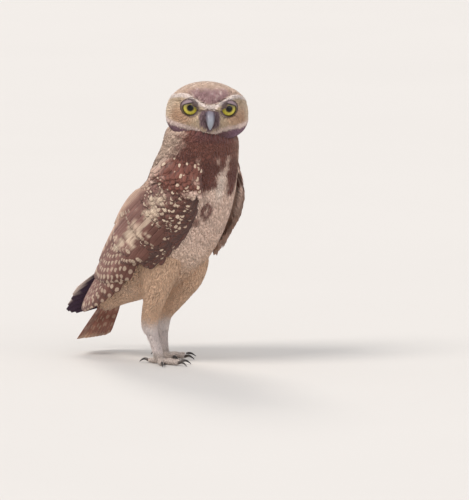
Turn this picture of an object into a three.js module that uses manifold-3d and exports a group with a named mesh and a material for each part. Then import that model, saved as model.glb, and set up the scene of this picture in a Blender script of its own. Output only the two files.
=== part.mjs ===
// A fledged young burrowing owl at life size. It stands upright, its head turned over its right shoulder.
// Units are millimetres. +X is the way the body faces, +Y is its left side and +Z is up.
// The soles of both feet lie on z = 0, and the origin is under the middle of the whole bird.
import * as THREE from "three";
import { mergeVertices } from "three/addons/utils/BufferGeometryUtils.js";
import Module from "manifold-3d";

const wasm = await Module();
wasm.setup();

// Gap kept between two sub-parts that touch
const GAP = 0.35;
// Vertices closer than this are one vertex
const WELD = 1e-4;

// Body, from inside the head down to the rump. Each row is one station of the spine:
// x, z, half width, depth to the back, depth to the breast
const BODY = [
  [45, 199, 23, 22, 21],
  [43.5, 185, 29, 28, 25.5],
  [41.5, 170, 30.5, 30.5, 27.5],
  [36, 152, 34, 33, 30.5],
  [27, 132, 35.5, 33, 34],
  [14, 113, 36, 33, 37],
  [-2, 96, 34.5, 31, 36.5],
  [-19, 80, 31, 27.5, 32],
  [-35, 66, 26, 22.5, 23],
  [-49, 53, 19, 16, 14],
  [-61, 39.5, 8.5, 6, 5],
];
const BODY_SIDES = 26;
const BODY_STEPS = 18;
// 2 gives an elliptical section, and more a fuller one
const BODY_SQUARENESS = 2.25;
// A point of the cut between neck and torso, and how far the cut leans forward, in radians
const COLLAR = { x: 39, z: 160, tilt: 0.28 };

// Head, in its own frame: x is the way the face looks, y its left, z up. Angles are in degrees.
const HEAD = { x: 48, y: 0, z: 204.5, yaw: -44.5, pitch: 2, roll: -2 };
// Reach of the skull's rounded box to each side, and how much wider it gets towards the cheeks
const SKULL = { face: 25.5, nape: 30, side: 31.8, crown: 23.6, chin: 23, squareness: 2.25, jowl: 0.07 };
const HEAD_SIDES = 34;
const HEAD_STEPS = 19;
// How far the face's columns, and its levels, are drawn together, as a share of their spacing
const FACE_DENSITY = 0.5;
const FACE_LEVELS = 0.3;
// Relief of the face. Each swelling or hollow has a height, and a place and width in radians round the eye.
const DISC = { hollow: 2.4, reach: 0.45 };
const BROW = { height: 2.2, away: 0.58, width: 0.23 };
const RIM = { height: 1.5, away: 0.9, width: 0.2 };
// Ridge of bristly feathers between the eyes, from below the bill up to the forehead
const LORE = { height: 2.2, width: 0.24, low: -0.7, high: 0.35 };

// Eyes turn outwards by `turn` degrees. The opening between the lids is squeezed to a low oval.
const EYE = { x: 13.2, y: 15, z: 5.4, radius: 8.6, turn: 11, opening: 6.2, squint: 0.9 };
const CORNEA = { height: 0.7, width: 0.55 };
const EYE_STEPS = 8;
const EYE_SIDES = 16;
// Lids: width of the rolled edge, of the fold behind it and of the hidden collar, and the collar's depth
const LID = { edge: 1, fold: 2.3, collar: 4.2, depth: 5 };
const LID_SIDES = 18;

// Bill, in the head's frame. Rows run from its root to its hooked tip: x, z, half width, half height
const UPPER_BILL = [
  [21.5, 1.2, 3.6, 3.6],
  [25.5, 0.9, 4.2, 3.8],
  [28.7, -0.5, 4, 3.5],
  [30.7, -3, 3.4, 3],
  [31.3, -5.9, 2.4, 2.1],
  [30.8, -8.4, 1.4, 1.3],
  [29.7, -10.4, 0.5, 0.5],
];
const LOWER_BILL = [
  [21, -4.4, 3.2, 1.7],
  [24.5, -4.8, 3.1, 1.8],
  [27, -5.9, 2.5, 1.6],
  [28.6, -7.3, 1.4, 1],
];
const BILL_STEPS = 9;
const BILL_SIDES = 10;
const NOSTRIL = { x: 28, y: 3.6, z: 0.1, radius: 1 };

// Folded wings. Rows run from the shoulder to the tip: x, y, z, turn of the wing's face towards the back
// in degrees, radius of its curve round the body, reach towards the back, reach towards the belly
const RIGHT_WING = [
  [51, -29.5, 154, -6, 34, 13, 21],
  [27, -38.5, 131, 4, 39, 27, 33],
  [3, -40.5, 107, 12, 41, 31, 28],
  [-22, -34.5, 84, 22, 38, 27, 19],
  [-48, -23, 62, 34, 36, 19, 13],
  [-74, -11, 38, 44, 60, 8, 8],
];
const LEFT_WING = [
  [45, 40, 150, -2, 38, 13, 17],
  [25, 46, 130, 3, 42, 27, 28],
  [-1, 44.5, 107, 12, 42, 31, 27],
  [-30, 35, 84, 24, 38, 27, 19],
  [-65, 20, 59, 40, 38, 19, 13],
  [-104, 3, 28.5, 52, 60, 8, 8],
];
const WING_LENGTH = 176;
// How much tighter a wing bends over the back than round the side
const BACK_BEND = 0.8;
// Away from the spine, towards the sky behind the bird
const BACKWARD_UP = new THREE.Vector3(-0.77, 0, 0.64);
// Arm and bed of small coverts: where it starts and ends along the wing, its thickness over the wing's sheet at
// the shoulder and at its end, its depth under the sheet at the middle and at the rim, and its rim's margin
const ARM = { start: -3, end: 112, thick: 5.4, thin: 1.3, inside: 9, rimInside: 3.2, margin: 2 };
const ARM_STEPS = 11;
const ARM_SIDES = 12;

// Tiers of wing feathers, laid from the belly edge to the back edge. Places are distances along the wing from
// the shoulder and across it, towards the back where positive. `root` and `tip` hold the places of the first
// and the last feather, `lift` the heights at root and tip, and `bow` bends a tier's line of tips.
const QUILLS = [[0, 0.7], [0.45, 1], [0.8, 0.9], [0.94, 0.6], [1, 0.2]];
const COVERTS = [[0, 0.6], [0.55, 1], [0.88, 0.76], [1, 0.2]];
const WING_TIERS = {
  primaries: {
    count: 6, width: 10.5, outline: QUILLS, bow: 13, lift: [0.9, 1],
    root: [[84, -12], [86, -1]], tip: [[124, -15], [173, -2]],
  },
  secondaries: {
    count: 6, width: 11.5, outline: QUILLS, bow: 5, lift: [1.9, 2.9],
    root: [[76, -13], [76, 8]], tip: [[104, -17], [140, 5]],
  },
  tertials: {
    count: 3, width: 13, outline: COVERTS, bow: 3, lift: [2.8, 4.6],
    root: [[66, 8], [64, 21]], tip: [[126, 9], [104, 18]],
  },
  primary_coverts: {
    count: 4, width: 9, outline: COVERTS, bow: 2, lift: [2.4, 3.6],
    root: [[44, -22], [46, -12]], tip: [[76, -22], [94, -12]],
  },
  greater_coverts: {
    count: 6, width: 10, outline: COVERTS, bow: 6, lift: [3.4, 5.4],
    root: [[48, -11], [46, 15]], tip: [[84, -11], [84, 17]],
  },
  median_coverts: {
    count: 6, width: 10.5, outline: COVERTS, bow: 5, lift: [4.2, 6.6],
    root: [[32, -18], [28, 13]], tip: [[58, -20], [60, 15]],
  },
  scapulars: {
    count: 5, width: 13.5, outline: COVERTS, bow: -2, lift: [4.6, 7.6],
    root: [[22, 10], [36, 24]], tip: [[50, 10], [92, 24]],
  },
};
const VANE_THICKNESS = 0.62;
// Difference in height between neighbours of one tier, and the steepest tilt that it may give a feather
const SHINGLE = 1.15;
const STEEPEST = 0.25;
// How far a feather's tip may lie from its place in the tier
const TIP_VARIATION = 2.2;
const RANDOM_SEED = 11;

// Tail: a fan on a gently arched sheet that starts inside the rump. The slope is in degrees below level.
const TAIL = { x: -44, z: 63, slope: 54, length: 64, arch: 70 };
const TAIL_FEATHERS = { pairs: 6, width: 11, root: 12, rootSpread: 7, tipSpread: 18.5, tilt: 0.16 };
// Each pair lies below the one inside it, and ends a little sooner
const TAIL_STEP = { height: 0.48, left: 0.45, length: 0.4, curve: 3.5 };
const TAIL_BASE = { start: -8, end: 34, width: 15.5, endWidth: 10, above: 3.2, below: 7, endHeight: 1.2 };
const TAIL_BASE_STEPS = 7;
const TAIL_BASE_SIDES = 12;

// Legs. Rows from inside the belly to the ankle: x, y, z, half thickness fore and aft, half width
const RIGHT_LEG = [
  [14, -16, 96, 21, 15],
  [14, -19, 78, 19, 13.5],
  [11.5, -19, 62, 13, 11],
  [9, -18.5, 52, 9.4, 9],
  [5.2, -17.8, 43, 7.7, 7.4],
  [2.8, -17.2, 35, 7, 6.4],
  [2.2, -17, 28, 6, 5.5],
  [4.6, -16.6, 21, 4.7, 4.5],
  [7.4, -16.1, 14, 4.2, 4.1],
  [9.8, -15.7, 7.5, 4.1, 4.1],
  [11.2, -15.4, 3.2, 4.1, 4.2],
];
const LEFT_LEG = [
  [11, 16, 96, 21, 15],
  [11, 19, 78, 19, 13.5],
  [8, 19, 62, 15, 12],
  [1.5, 18.5, 50, 10.6, 9],
  [-6, 17.8, 40, 7.6, 7.2],
  [-11.2, 17.2, 33, 5.7, 5.8],
  [-13, 17, 27, 5.2, 5.2],
  [-13.3, 16.7, 20, 4.5, 4.4],
  [-12.6, 16.3, 13, 4, 4],
  [-11.4, 15.9, 7, 4, 4],
  [-10.6, 15.6, 3.2, 4.1, 4.2],
];
const LEG_STEPS = 15;
const LEG_SIDES = 12;
const HEEL_Z = 31;
const ANKLE_Z = 8;
// Toes: heading in degrees from straight ahead towards the outside, length, and the claw's length
const TOES = {
  inner: { heading: -24, length: 17.5, claw: 8.5 },
  middle: { heading: 4, length: 21, claw: 9 },
  outer: { heading: 44, length: 17.5, claw: 8 },
  hind: { heading: 166, length: 10, claw: 7.5 },
};
// Radii at root and end, height of the middle line, and the swelling of the pads under each joint
const TOE = { radius: 2.7, endRadius: 1.95, height: 2.35, swelling: 0.14, pads: 2, steps: 6, sides: 8 };
// Radii and heights at root and tip, and how far the middle arches up
const CLAW = { radius: 1.35, tipRadius: 0.3, height: 2.5, tipHeight: 0.75, arch: 1.1, steps: 4, sides: 6 };

const COLOURS = {
  head: 0xa98f80, neck: 0x70574b, torso: 0xc4aa97, wing: 0x745a4b, tail: 0x8a6553, thigh: 0xc7ab8c,
  tarsus: 0xbdb3aa, foot: 0xa9a29a, claw: 0x3b3634, bill: 0x9a9c98, lowerBill: 0x77716d, eye: 0xb5ab45,
};

const { degToRad: radians, lerp, smoothstep } = THREE.MathUtils;
const TURN = 2 * Math.PI;
const HANDS = [-1, 1];
const bell = (distance, width) => Math.exp(-((distance / width) ** 2));

// A repeatable stream of numbers from 0 to 1
function randomStream(seed) {
  const [factor, modulus] = [16807, 2147483647];
  let state = seed;
  return () => {
    state = (state * factor) % modulus;
    return state / modulus;
  };
}

// The row of values at u, from 0 at the first row to 1 at the last, on a smooth curve through the rows
function along(rows, u) {
  const last = rows.length - 1;
  const place = Math.min(Math.max(u, 0), 1) * last;
  const i = Math.min(Math.floor(place), last - 1);
  const t = place - i;
  const value = (k, c) => {
    if (k < 0) return 2 * rows[0][c] - rows[1][c];
    if (k > last) return 2 * rows[last][c] - rows[last - 1][c];
    return rows[k][c];
  };
  return rows[0].map((_, c) => {
    const [a, b, d, e] = [value(i - 1, c), value(i, c), value(i + 1, c), value(i + 2, c)];
    const [slope, curve, twist] = [d - a, 2 * a - 5 * b + 4 * d - e, 3 * b - a - 3 * d + e];
    return b + 0.5 * (slope * t + curve * t ** 2 + twist * t ** 3);
  });
}

// The direction in which chosen columns of the rows change at u, as a unit vector
function heading(rows, u, toVector) {
  const step = 0.01;
  const after = toVector(along(rows, Math.min(u + step, 1)));
  return after.sub(toVector(along(rows, Math.max(u - step, 0)))).normalize();
}

const inMiddlePlane = ([x, z]) => new THREE.Vector3(x, 0, z);
const inSpace = ([x, y, z]) => new THREE.Vector3(x, y, z);

// The closed solid of a geometry, with its faces turned outwards
function solidOf(geometry) {
  const bare = geometry.clone();
  bare.deleteAttribute("normal");
  bare.deleteAttribute("uv");
  const merged = mergeVertices(bare, WELD);
  const vertProperties = merged.attributes.position.array;
  const triVerts = new Uint32Array(merged.index.array);
  const solid = new wasm.Manifold(new wasm.Mesh({ numProp: 3, vertProperties, triVerts }));
  if (solid.volume() >= 0) return solid;
  return new wasm.Manifold(new wasm.Mesh({ numProp: 3, vertProperties, triVerts: triVerts.toReversed() }));
}

function solidFrom(positions, index) {
  const geometry = new THREE.BufferGeometry();
  geometry.setAttribute("position", new THREE.Float32BufferAttribute(positions, 3));
  geometry.setIndex(index);
  return solidOf(geometry);
}

// A tube with closed ends: pointAt(u, v) gives its skin, u along it and v round it, both from 0 to 1
function tube(steps, sides, pointAt) {
  const positions = [];
  const index = [];
  for (let i = 0; i <= steps; i++)
    for (let j = 0; j < sides; j++) positions.push(...pointAt(i / steps, j / sides).toArray());
  const at = (i, j) => i * sides + (j % sides);
  for (let i = 0; i < steps; i++)
    for (let j = 0; j < sides; j++) {
      const [a, b, c, d] = [at(i, j), at(i, j + 1), at(i + 1, j + 1), at(i + 1, j)];
      index.push(a, b, c, a, c, d);
    }
  for (const end of [0, steps]) {
    const centre = new THREE.Vector3();
    for (let j = 0; j < sides; j++) centre.add(new THREE.Vector3().fromArray(positions, at(end, j) * 3));
    const pole = positions.length / 3;
    positions.push(...centre.divideScalar(sides).toArray());
    for (let j = 0; j < sides; j++) {
      const [a, b] = [at(end, j), at(end, j + 1)];
      index.push(...(end ? [a, b, pole] : [b, a, pole]));
    }
  }
  return solidFrom(positions, index);
}

// A thin blade from rings of four corners: left and right above, right and left below. Both faces are split
// along the same diagonals, so that they can't cross where the blade bends.
function blade(rings) {
  const corners = 4;
  const under = 2;
  const positions = rings.flatMap((ring) => ring.flatMap((corner) => corner.toArray()));
  const index = [];
  for (let i = 0; i + 1 < rings.length; i++)
    for (let j = 0; j < corners; j++) {
      const [a, b] = [i * corners + j, i * corners + ((j + 1) % corners)];
      const [c, d] = [b + corners, a + corners];
      index.push(...(j === under ? [a, b, d, b, c, d] : [a, b, c, a, c, d]));
    }
  const last = (rings.length - 1) * corners;
  index.push(1, 0, 3, 1, 3, 2);
  index.push(last, last + 1, last + 2, last, last + 2, last + 3);
  return solidFrom(positions, index);
}

const join = (solids) => wasm.Manifold.union(solids);

// The largest closed surface of a solid, which drops loose scraps
function largest(solid) {
  return solid.decompose().reduce((a, b) => (b.volume() > a.volume() ? b : a));
}

// A lathe's solid about an axis that leaves `from` towards `axis`, squeezed upright by `squeeze`
function turned(profile, sides, { centre, axis }, squeeze = 1) {
  const points = profile.map(([radius, height]) => new THREE.Vector2(radius, height));
  const geometry = new THREE.LatheGeometry(points, sides).scale(1, 1, squeeze);
  const turn = new THREE.Quaternion().setFromUnitVectors(new THREE.Vector3(0, 1, 0), axis);
  geometry.applyMatrix4(new THREE.Matrix4().compose(centre, turn, new THREE.Vector3(1, 1, 1)));
  return solidOf(geometry);
}

// Body

// The body's skin at u along the spine and v round it from the back over the right side, grown by `grow`
function bodyPoint(u, v, grow) {
  const [x, z, width, back, breast] = along(BODY, u);
  const run = heading(BODY, u, inMiddlePlane);
  const backward = new THREE.Vector3(run.z, 0, -run.x);
  const [c, s] = [Math.cos(v * TURN), Math.sin(v * TURN)];
  const n = BODY_SQUARENESS;
  const fullness = (Math.abs(c) ** n + Math.abs(s) ** n) ** (-1 / n);
  const depth = (c > 0 ? back : breast) + grow;
  return new THREE.Vector3(x, 0, z)
    .addScaledVector(backward, c * fullness * depth)
    .add(new THREE.Vector3(0, -s * fullness * (width + grow), 0));
}

const body = (grow) => tube(BODY_STEPS, BODY_SIDES, (u, v) => bodyPoint(u, v, grow));

// The cut between neck and torso, as a plane's normal and its distance from the origin
function collarPlane(shift) {
  const normal = [Math.sin(COLLAR.tilt), 0, Math.cos(COLLAR.tilt)];
  return [normal, normal[0] * COLLAR.x + normal[2] * COLLAR.z + shift];
}

const above = (solid, [normal, offset]) => solid.trimByPlane(normal, offset);
const below = (solid, [normal, offset]) => solid.trimByPlane(normal.map((n) => -n), -offset);
const level = (z) => [[0, 0, 1], z];

// Head

// Relief of the face round one eye: the disc's hollow, the brow over it and the disc's rim beside it
function eyeRelief(direction, hand) {
  const towardsEye = new THREE.Vector3(22, hand * EYE.y, EYE.z).normalize();
  const away = direction.angleTo(towardsEye);
  const up = direction.z - towardsEye.z;
  const outward = (direction.y - towardsEye.y) * hand;
  const overEye = smoothstep(up + 0.3 * Math.max(-outward, 0), 0, 0.5);
  const besideEye = smoothstep(outward - 0.3 * Math.max(up, 0), -0.15, 0.4);
  return (
    BROW.height * bell(away - BROW.away, BROW.width) * overEye +
    RIM.height * bell(away - RIM.away, RIM.width) * besideEye -
    DISC.hollow * bell(away, DISC.reach)
  );
}

function loreRelief(direction) {
  if (direction.x <= 0) return 0;
  const elevation = Math.asin(direction.z);
  const rising = smoothstep(elevation, LORE.low, LORE.low + 0.3);
  const fading = 1 - smoothstep(elevation, LORE.high - 0.25, LORE.high + 0.1);
  return LORE.height * bell(Math.atan2(direction.y, direction.x), LORE.width) * rising * fading;
}

// Distance from the head's centre to its skin
function headReach(direction) {
  const { face, nape, side, crown, chin, squareness: n, jowl } = SKULL;
  const shares = [
    direction.x / (direction.x > 0 ? face : nape),
    direction.y / side,
    direction.z / (direction.z > 0 ? crown : chin),
  ];
  const skull = shares.reduce((sum, share) => sum + Math.abs(share) ** n, 0) ** (-1 / n);
  const cheek = Math.max(-direction.z, -0.5) * Math.abs(direction.y);
  const eyes = HANDS.reduce((sum, hand) => sum + eyeRelief(direction, hand), 0);
  return skull * (1 + jowl * cheek) + eyes + loreRelief(direction);
}

function headSkin(grow) {
  return tube(HEAD_STEPS, HEAD_SIDES, (u, v) => {
    const azimuth = v * TURN - FACE_DENSITY * Math.sin(v * TURN);
    const climb = 2 * u - 1;
    const elevation = radians(89 * ((1 - FACE_LEVELS) * climb + FACE_LEVELS * climb ** 3));
    const flat = Math.cos(elevation);
    const direction = new THREE.Vector3(
      flat * Math.cos(azimuth), flat * Math.sin(azimuth), Math.sin(elevation));
    return direction.clone().multiplyScalar(headReach(direction) + grow);
  });
}

function placeInHead(solid) {
  const turn = new THREE.Euler(radians(HEAD.roll), radians(HEAD.pitch), radians(HEAD.yaw), "ZYX");
  const centre = new THREE.Vector3(HEAD.x, HEAD.y, HEAD.z);
  const place = new THREE.Matrix4().compose(
    centre, new THREE.Quaternion().setFromEuler(turn), new THREE.Vector3(1, 1, 1));
  return solid.transform(place.elements);
}

function eyeFrame(hand) {
  const turn = radians(EYE.turn) * hand;
  return {
    centre: new THREE.Vector3(EYE.x, EYE.y * hand, EYE.z),
    axis: new THREE.Vector3(Math.cos(turn), Math.sin(turn), 0.03).normalize(),
  };
}

// Eyeball: a ball with a low cornea raised on its front
function eyeball(hand, grow) {
  const profile = Array.from({ length: EYE_STEPS + 1 }, (_, i) => {
    const angle = Math.PI * (i / EYE_STEPS);
    const radius = EYE.radius + grow + CORNEA.height * bell(Math.PI - angle, CORNEA.width);
    const onAxis = i === 0 || i === EYE_STEPS;
    return [onAxis ? 0 : Math.sin(angle) * radius, -Math.cos(angle) * radius];
  });
  return turned(profile, EYE_SIDES, eyeFrame(hand));
}

// Distance from the eye's centre to the circle where the lids meet the ball
const lidCircle = Math.sqrt(EYE.radius ** 2 - EYE.opening ** 2);

// Dome of skin over an eyeball, which ends in the rolled edge of the lids
function lids(hand) {
  const rise = lidCircle + GAP;
  const profile = [
    [0, lidCircle - LID.depth],
    [EYE.opening + LID.collar, lidCircle - LID.depth],
    [EYE.opening + LID.fold + 0.9, rise - 2.6],
    [EYE.opening + LID.fold, rise - 0.9],
    [EYE.opening + LID.edge, rise + 0.6],
    [EYE.opening + LID.edge * 0.5, rise + 1],
    [0, rise + 1],
  ];
  return turned(profile, LID_SIDES, eyeFrame(hand), EYE.squint);
}

// The room between the lids, which widens outwards
function lidOpening(hand) {
  const outside = 24;
  const profile = [
    [0, 0],
    [EYE.opening - 0.6, 0],
    [EYE.opening - 0.1, lidCircle],
    [EYE.opening + 1.2, outside],
    [0, outside],
  ];
  return turned(profile, LID_SIDES, eyeFrame(hand), EYE.squint);
}

// Half of the bill: rings carried along its rows, rounder above than below, grown by `grow`
function billHalf(rows, grow) {
  return tube(BILL_STEPS, BILL_SIDES, (u, v) => {
    const [x, z, width, height] = along(rows, u);
    const run = heading(rows, u, inMiddlePlane);
    const outward = new THREE.Vector3(-run.z, 0, run.x);
    const [c, s] = [Math.cos(v * TURN), Math.sin(v * TURN)];
    const fullness = c > 0 ? 1 : 0.75;
    return new THREE.Vector3(x, 0, z)
      .addScaledVector(outward, c * (height + grow) * fullness)
      .add(new THREE.Vector3(0, Math.sign(s) * Math.abs(s) ** 0.9 * (width + grow), 0));
  });
}

function nostril(hand) {
  const pit = new THREE.SphereGeometry(NOSTRIL.radius, 8, 6);
  return solidOf(pit.translate(NOSTRIL.x, NOSTRIL.y * hand, NOSTRIL.z));
}

// Wings

// A point over a wing: length along it, across it towards the back, and height off it
function wingPoint(rows, hand, length, across, height) {
  const u = length / WING_LENGTH;
  const [x, y, z, turn, radius] = along(rows, u);
  const run = heading(rows, u, inSpace);
  const out = new THREE.Vector3(0, hand * Math.cos(radians(turn)), 0);
  out.addScaledVector(BACKWARD_UP, Math.sin(radians(turn)));
  out.addScaledVector(run, -out.dot(run)).normalize();
  const towardsBack = new THREE.Vector3().crossVectors(run, out).multiplyScalar(-hand);
  const bend = across > 0 ? radius * BACK_BEND : radius;
  const angle = across / bend;
  return new THREE.Vector3(x, y, z)
    .addScaledVector(out, (bend + height) * Math.cos(angle) - bend)
    .addScaledVector(towardsBack, (bend + height) * Math.sin(angle));
}

// One feather: a blade over a sheet, from root to tip, each a place along, across and over it. Its tilt
// lays one edge over the neighbour.
function feather(sheet, root, tip, { width, outline }, tilt) {
  const [dl, dm] = [tip[0] - root[0], tip[1] - root[1]];
  const size = Math.hypot(dl, dm);
  const rings = outline.map(([t, share]) => {
    const [length, across, height] = root.map((start, c) => lerp(start, tip[c], t));
    const half = (width / 2) * share;
    const corner = (side, face) => {
      const rise = tilt * half * side + (face * VANE_THICKNESS) / 2;
      return sheet(length - (dm / size) * half * side, across + (dl / size) * half * side, height + rise);
    };
    return [corner(1, 1), corner(-1, 1), corner(-1, -1), corner(1, -1)];
  });
  return blade(rings);
}

// The wing's arm with its bed of small coverts, thick at the shoulder, thin at the back, and round in outline
function arm(sheet, rows) {
  return tube(ARM_STEPS, ARM_SIDES, (u, v) => {
    const length = lerp(ARM.start, ARM.end, u);
    const [, , , , , reachUp, reachDown] = along(rows, length / WING_LENGTH);
    const [c, s] = [Math.cos(v * TURN), Math.sin(v * TURN)];
    const opening = Math.sqrt(1 - Math.max(1 - u / 0.16, 0) ** 2);
    const closing = Math.sqrt(1 - 0.8 * Math.max((u - 0.8) / 0.2, 0) ** 2);
    const round = opening * closing;
    const across = c * ((c > 0 ? reachUp : reachDown) - ARM.margin) * Math.max(round, 0.25);
    const thickness = lerp(ARM.thick, ARM.thin, smoothstep(u, 0.25, 1)) * round;
    const inside = lerp(ARM.rimInside, ARM.inside, s * s * round);
    return sheet(length, across, Math.sign(s) * Math.abs(s) ** 0.7 * (s > 0 ? thickness : inside));
  });
}

function wing(rows, hand, seed) {
  const sheet = (length, across, height) => wingPoint(rows, hand, length, across, height);
  const random = randomStream(seed);
  const solids = [arm(sheet, rows)];
  for (const tier of Object.values(WING_TIERS)) {
    const spacing = Math.abs(tier.tip[1][1] - tier.tip[0][1]) / (tier.count - 1);
    const tilt = Math.min(SHINGLE / spacing, STEEPEST);
    for (let i = 0; i < tier.count; i++) {
      const t = i / (tier.count - 1);
      const mix = (first, last) => first.map((value, c) => lerp(value, last[c], t));
      const between = ([first, last], height) => [...mix(first, last), height];
      const tip = between(tier.tip, tier.lift[1]);
      tip[0] += tier.bow * Math.sin(Math.PI * t) + (random() - 0.5) * TIP_VARIATION;
      solids.push(feather(sheet, between(tier.root, tier.lift[0]), tip, tier, tilt));
    }
  }
  return join(solids);
}

// Tail

// A point of the tail: length from its hidden root, across towards its left, and height towards the back
function tailPoint(length, across, height) {
  const slope = radians(TAIL.slope);
  const run = new THREE.Vector3(-Math.cos(slope), 0, -Math.sin(slope));
  const up = new THREE.Vector3(-Math.sin(slope), 0, Math.cos(slope));
  const angle = across / TAIL.arch;
  return new THREE.Vector3(TAIL.x, 0, TAIL.z)
    .addScaledVector(run, length)
    .addScaledVector(up, (TAIL.arch + height) * Math.cos(angle) - TAIL.arch)
    .add(new THREE.Vector3(0, (TAIL.arch + height) * Math.sin(angle), 0));
}

function tailBase() {
  return tube(TAIL_BASE_STEPS, TAIL_BASE_SIDES, (u, v) => {
    const [c, s] = [Math.cos(v * TURN), Math.sin(v * TURN)];
    const closing = Math.sqrt(1 - 0.85 * Math.max((u - 0.75) / 0.25, 0) ** 2);
    const width = lerp(TAIL_BASE.width, TAIL_BASE.endWidth, u) * closing;
    const depth = lerp(c > 0 ? TAIL_BASE.above : TAIL_BASE.below, TAIL_BASE.endHeight, smoothstep(u, 0.15, 1));
    return tailPoint(lerp(TAIL_BASE.start, TAIL_BASE.end, u), s * width, c * depth);
  });
}

function tail() {
  const { pairs, root, rootSpread, tipSpread, tilt, width } = TAIL_FEATHERS;
  const solids = [tailBase()];
  for (const hand of HANDS)
    for (let i = 0; i < pairs; i++) {
      const t = (i + 0.5) / pairs;
      const height = -TAIL_STEP.height * i;
      const reach = TAIL.length - TAIL_STEP.curve * t * t - TAIL_STEP.length * i;
      const tip = [reach, hand * t * tipSpread, height - (hand > 0 ? TAIL_STEP.left : 0)];
      const start = [root, hand * t * rootSpread, height];
      solids.push(feather(tailPoint, start, tip, { width, outline: QUILLS }, -hand * tilt));
    }
  return join(solids);
}

// Legs

function leg(rows) {
  return tube(LEG_STEPS, LEG_SIDES, (u, v) => {
    const [x, y, z, fore, wide] = along(rows, u);
    return new THREE.Vector3(x + Math.cos(v * TURN) * fore, y + Math.sin(v * TURN) * wide, z);
  });
}

// A toe leaves the foot level, swells at its pads and lies flat on the ground
function toe(foot, hand, shape) {
  const turn = radians(shape.heading) * hand;
  const ahead = new THREE.Vector3(Math.cos(turn), Math.sin(turn), 0);
  const aside = new THREE.Vector3(-Math.sin(turn), Math.cos(turn), 0);
  const solid = tube(TOE.steps, TOE.sides, (u, v) => {
    const pads = 1 + TOE.swelling * Math.cos(u * TOE.pads * TURN);
    const radius = lerp(TOE.radius, TOE.endRadius, u) * pads;
    const point = foot.clone().addScaledVector(ahead, shape.length * u);
    point.addScaledVector(aside, Math.cos(v * TURN) * radius);
    point.z = Math.max(TOE.height + Math.sin(v * TURN) * radius, 0);
    return point;
  });
  return { solid, ahead, aside, end: foot.clone().addScaledVector(ahead, shape.length) };
}

// A claw arches up from its toe's end and comes down to a point just over the ground
function claw({ end, ahead, aside }, length) {
  return tube(CLAW.steps, CLAW.sides, (u, v) => {
    const radius = lerp(CLAW.radius, CLAW.tipRadius, u ** 1.3);
    const rise = Math.sin(v * TURN) * radius * lerp(1, 0.8, u);
    const point = end.clone().addScaledVector(ahead, GAP + length * u + (rise * u) / 2);
    point.addScaledVector(aside, Math.cos(v * TURN) * radius * 0.8);
    point.z = lerp(CLAW.height, CLAW.tipHeight, u * u) + CLAW.arch * Math.sin(Math.PI * u) + rise;
    return point;
  });
}

function legParts(side, hand, rows) {
  const whole = leg(rows);
  const [x, y] = rows.at(-1);
  const foot = new THREE.Vector3(x, y, 0);
  const toes = Object.entries(TOES).map(([name, shape]) => [name, shape, toe(foot, hand, shape)]);
  const thigh = above(whole, level(HEEL_Z + GAP / 2)).subtract(grownBody);
  const tarsus = above(below(whole, level(HEEL_Z - GAP / 2)), level(ANKLE_Z + GAP / 2));
  const ankle = above(below(whole, level(ANKLE_Z - GAP / 2)), level(0));
  return [
    [side + "_thigh", largest(thigh), COLOURS.thigh, 0.95],
    [side + "_tarsus", tarsus, COLOURS.tarsus, 0.8],
    [side + "_foot", join([ankle, ...toes.map(([, , { solid }]) => solid)]), COLOURS.foot, 0.8],
    ...toes.map(([name, shape, made]) => [side + "_claw_" + name, claw(made, shape.claw), COLOURS.claw, 0.4]),
  ];
}

// The whole bird

const grownBody = body(GAP);
const grownUpperBill = billHalf(UPPER_BILL, GAP);
const hollows = HANDS.flatMap((hand) => [eyeball(hand, GAP), lidOpening(hand)]);
const billRoots = [grownUpperBill, billHalf(LOWER_BILL, GAP)];
const head = join([headSkin(0), ...HANDS.map(lids)]).subtract(join([...hollows, ...billRoots]));
const upperBill = billHalf(UPPER_BILL, 0).subtract(join(HANDS.map(nostril)));
const lowerBill = billHalf(LOWER_BILL, 0).subtract(grownUpperBill);
const neck = above(body(0), collarPlane(GAP / 2)).subtract(placeInHead(headSkin(GAP)));
const torso = below(body(0), collarPlane(-GAP / 2));

// Every sub-part: name, solid, colour, roughness
const SUBPARTS = [
  ["head", placeInHead(largest(head)), COLOURS.head, 0.95],
  ["bill_upper", placeInHead(largest(upperBill)), COLOURS.bill, 0.45],
  ["bill_lower", placeInHead(largest(lowerBill)), COLOURS.lowerBill, 0.5],
  ["right_eye", placeInHead(eyeball(-1, 0)), COLOURS.eye, 0.1],
  ["left_eye", placeInHead(eyeball(1, 0)), COLOURS.eye, 0.1],
  ["neck", largest(neck), COLOURS.neck, 0.95],
  ["torso", largest(torso), COLOURS.torso, 0.95],
  ["tail", largest(tail().subtract(grownBody)), COLOURS.tail, 0.9],
  ["right_wing", largest(wing(RIGHT_WING, -1, RANDOM_SEED).subtract(grownBody)), COLOURS.wing, 0.9],
  ["left_wing", largest(wing(LEFT_WING, 1, RANDOM_SEED + 6).subtract(grownBody)), COLOURS.wing, 0.9],
  ...legParts("right", -1, RIGHT_LEG),
  ...legParts("left", 1, LEFT_LEG),
];

const owl = new THREE.Group();
for (const [name, solid, color, roughness] of SUBPARTS) {
  const { vertProperties, triVerts } = solid.getMesh();
  const geometry = new THREE.BufferGeometry();
  geometry.setAttribute("position", new THREE.BufferAttribute(vertProperties, 3));
  geometry.setIndex(new THREE.BufferAttribute(triVerts, 1));
  geometry.computeVertexNormals();
  const mesh = new THREE.Mesh(geometry, new THREE.MeshStandardMaterial({ color, roughness, metalness: 0 }));
  mesh.name = name;
  owl.add(mesh);
}
const middle = new THREE.Box3().setFromObject(owl).getCenter(new THREE.Vector3());
owl.position.set(-middle.x, -middle.y, 0);

export default owl;
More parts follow.
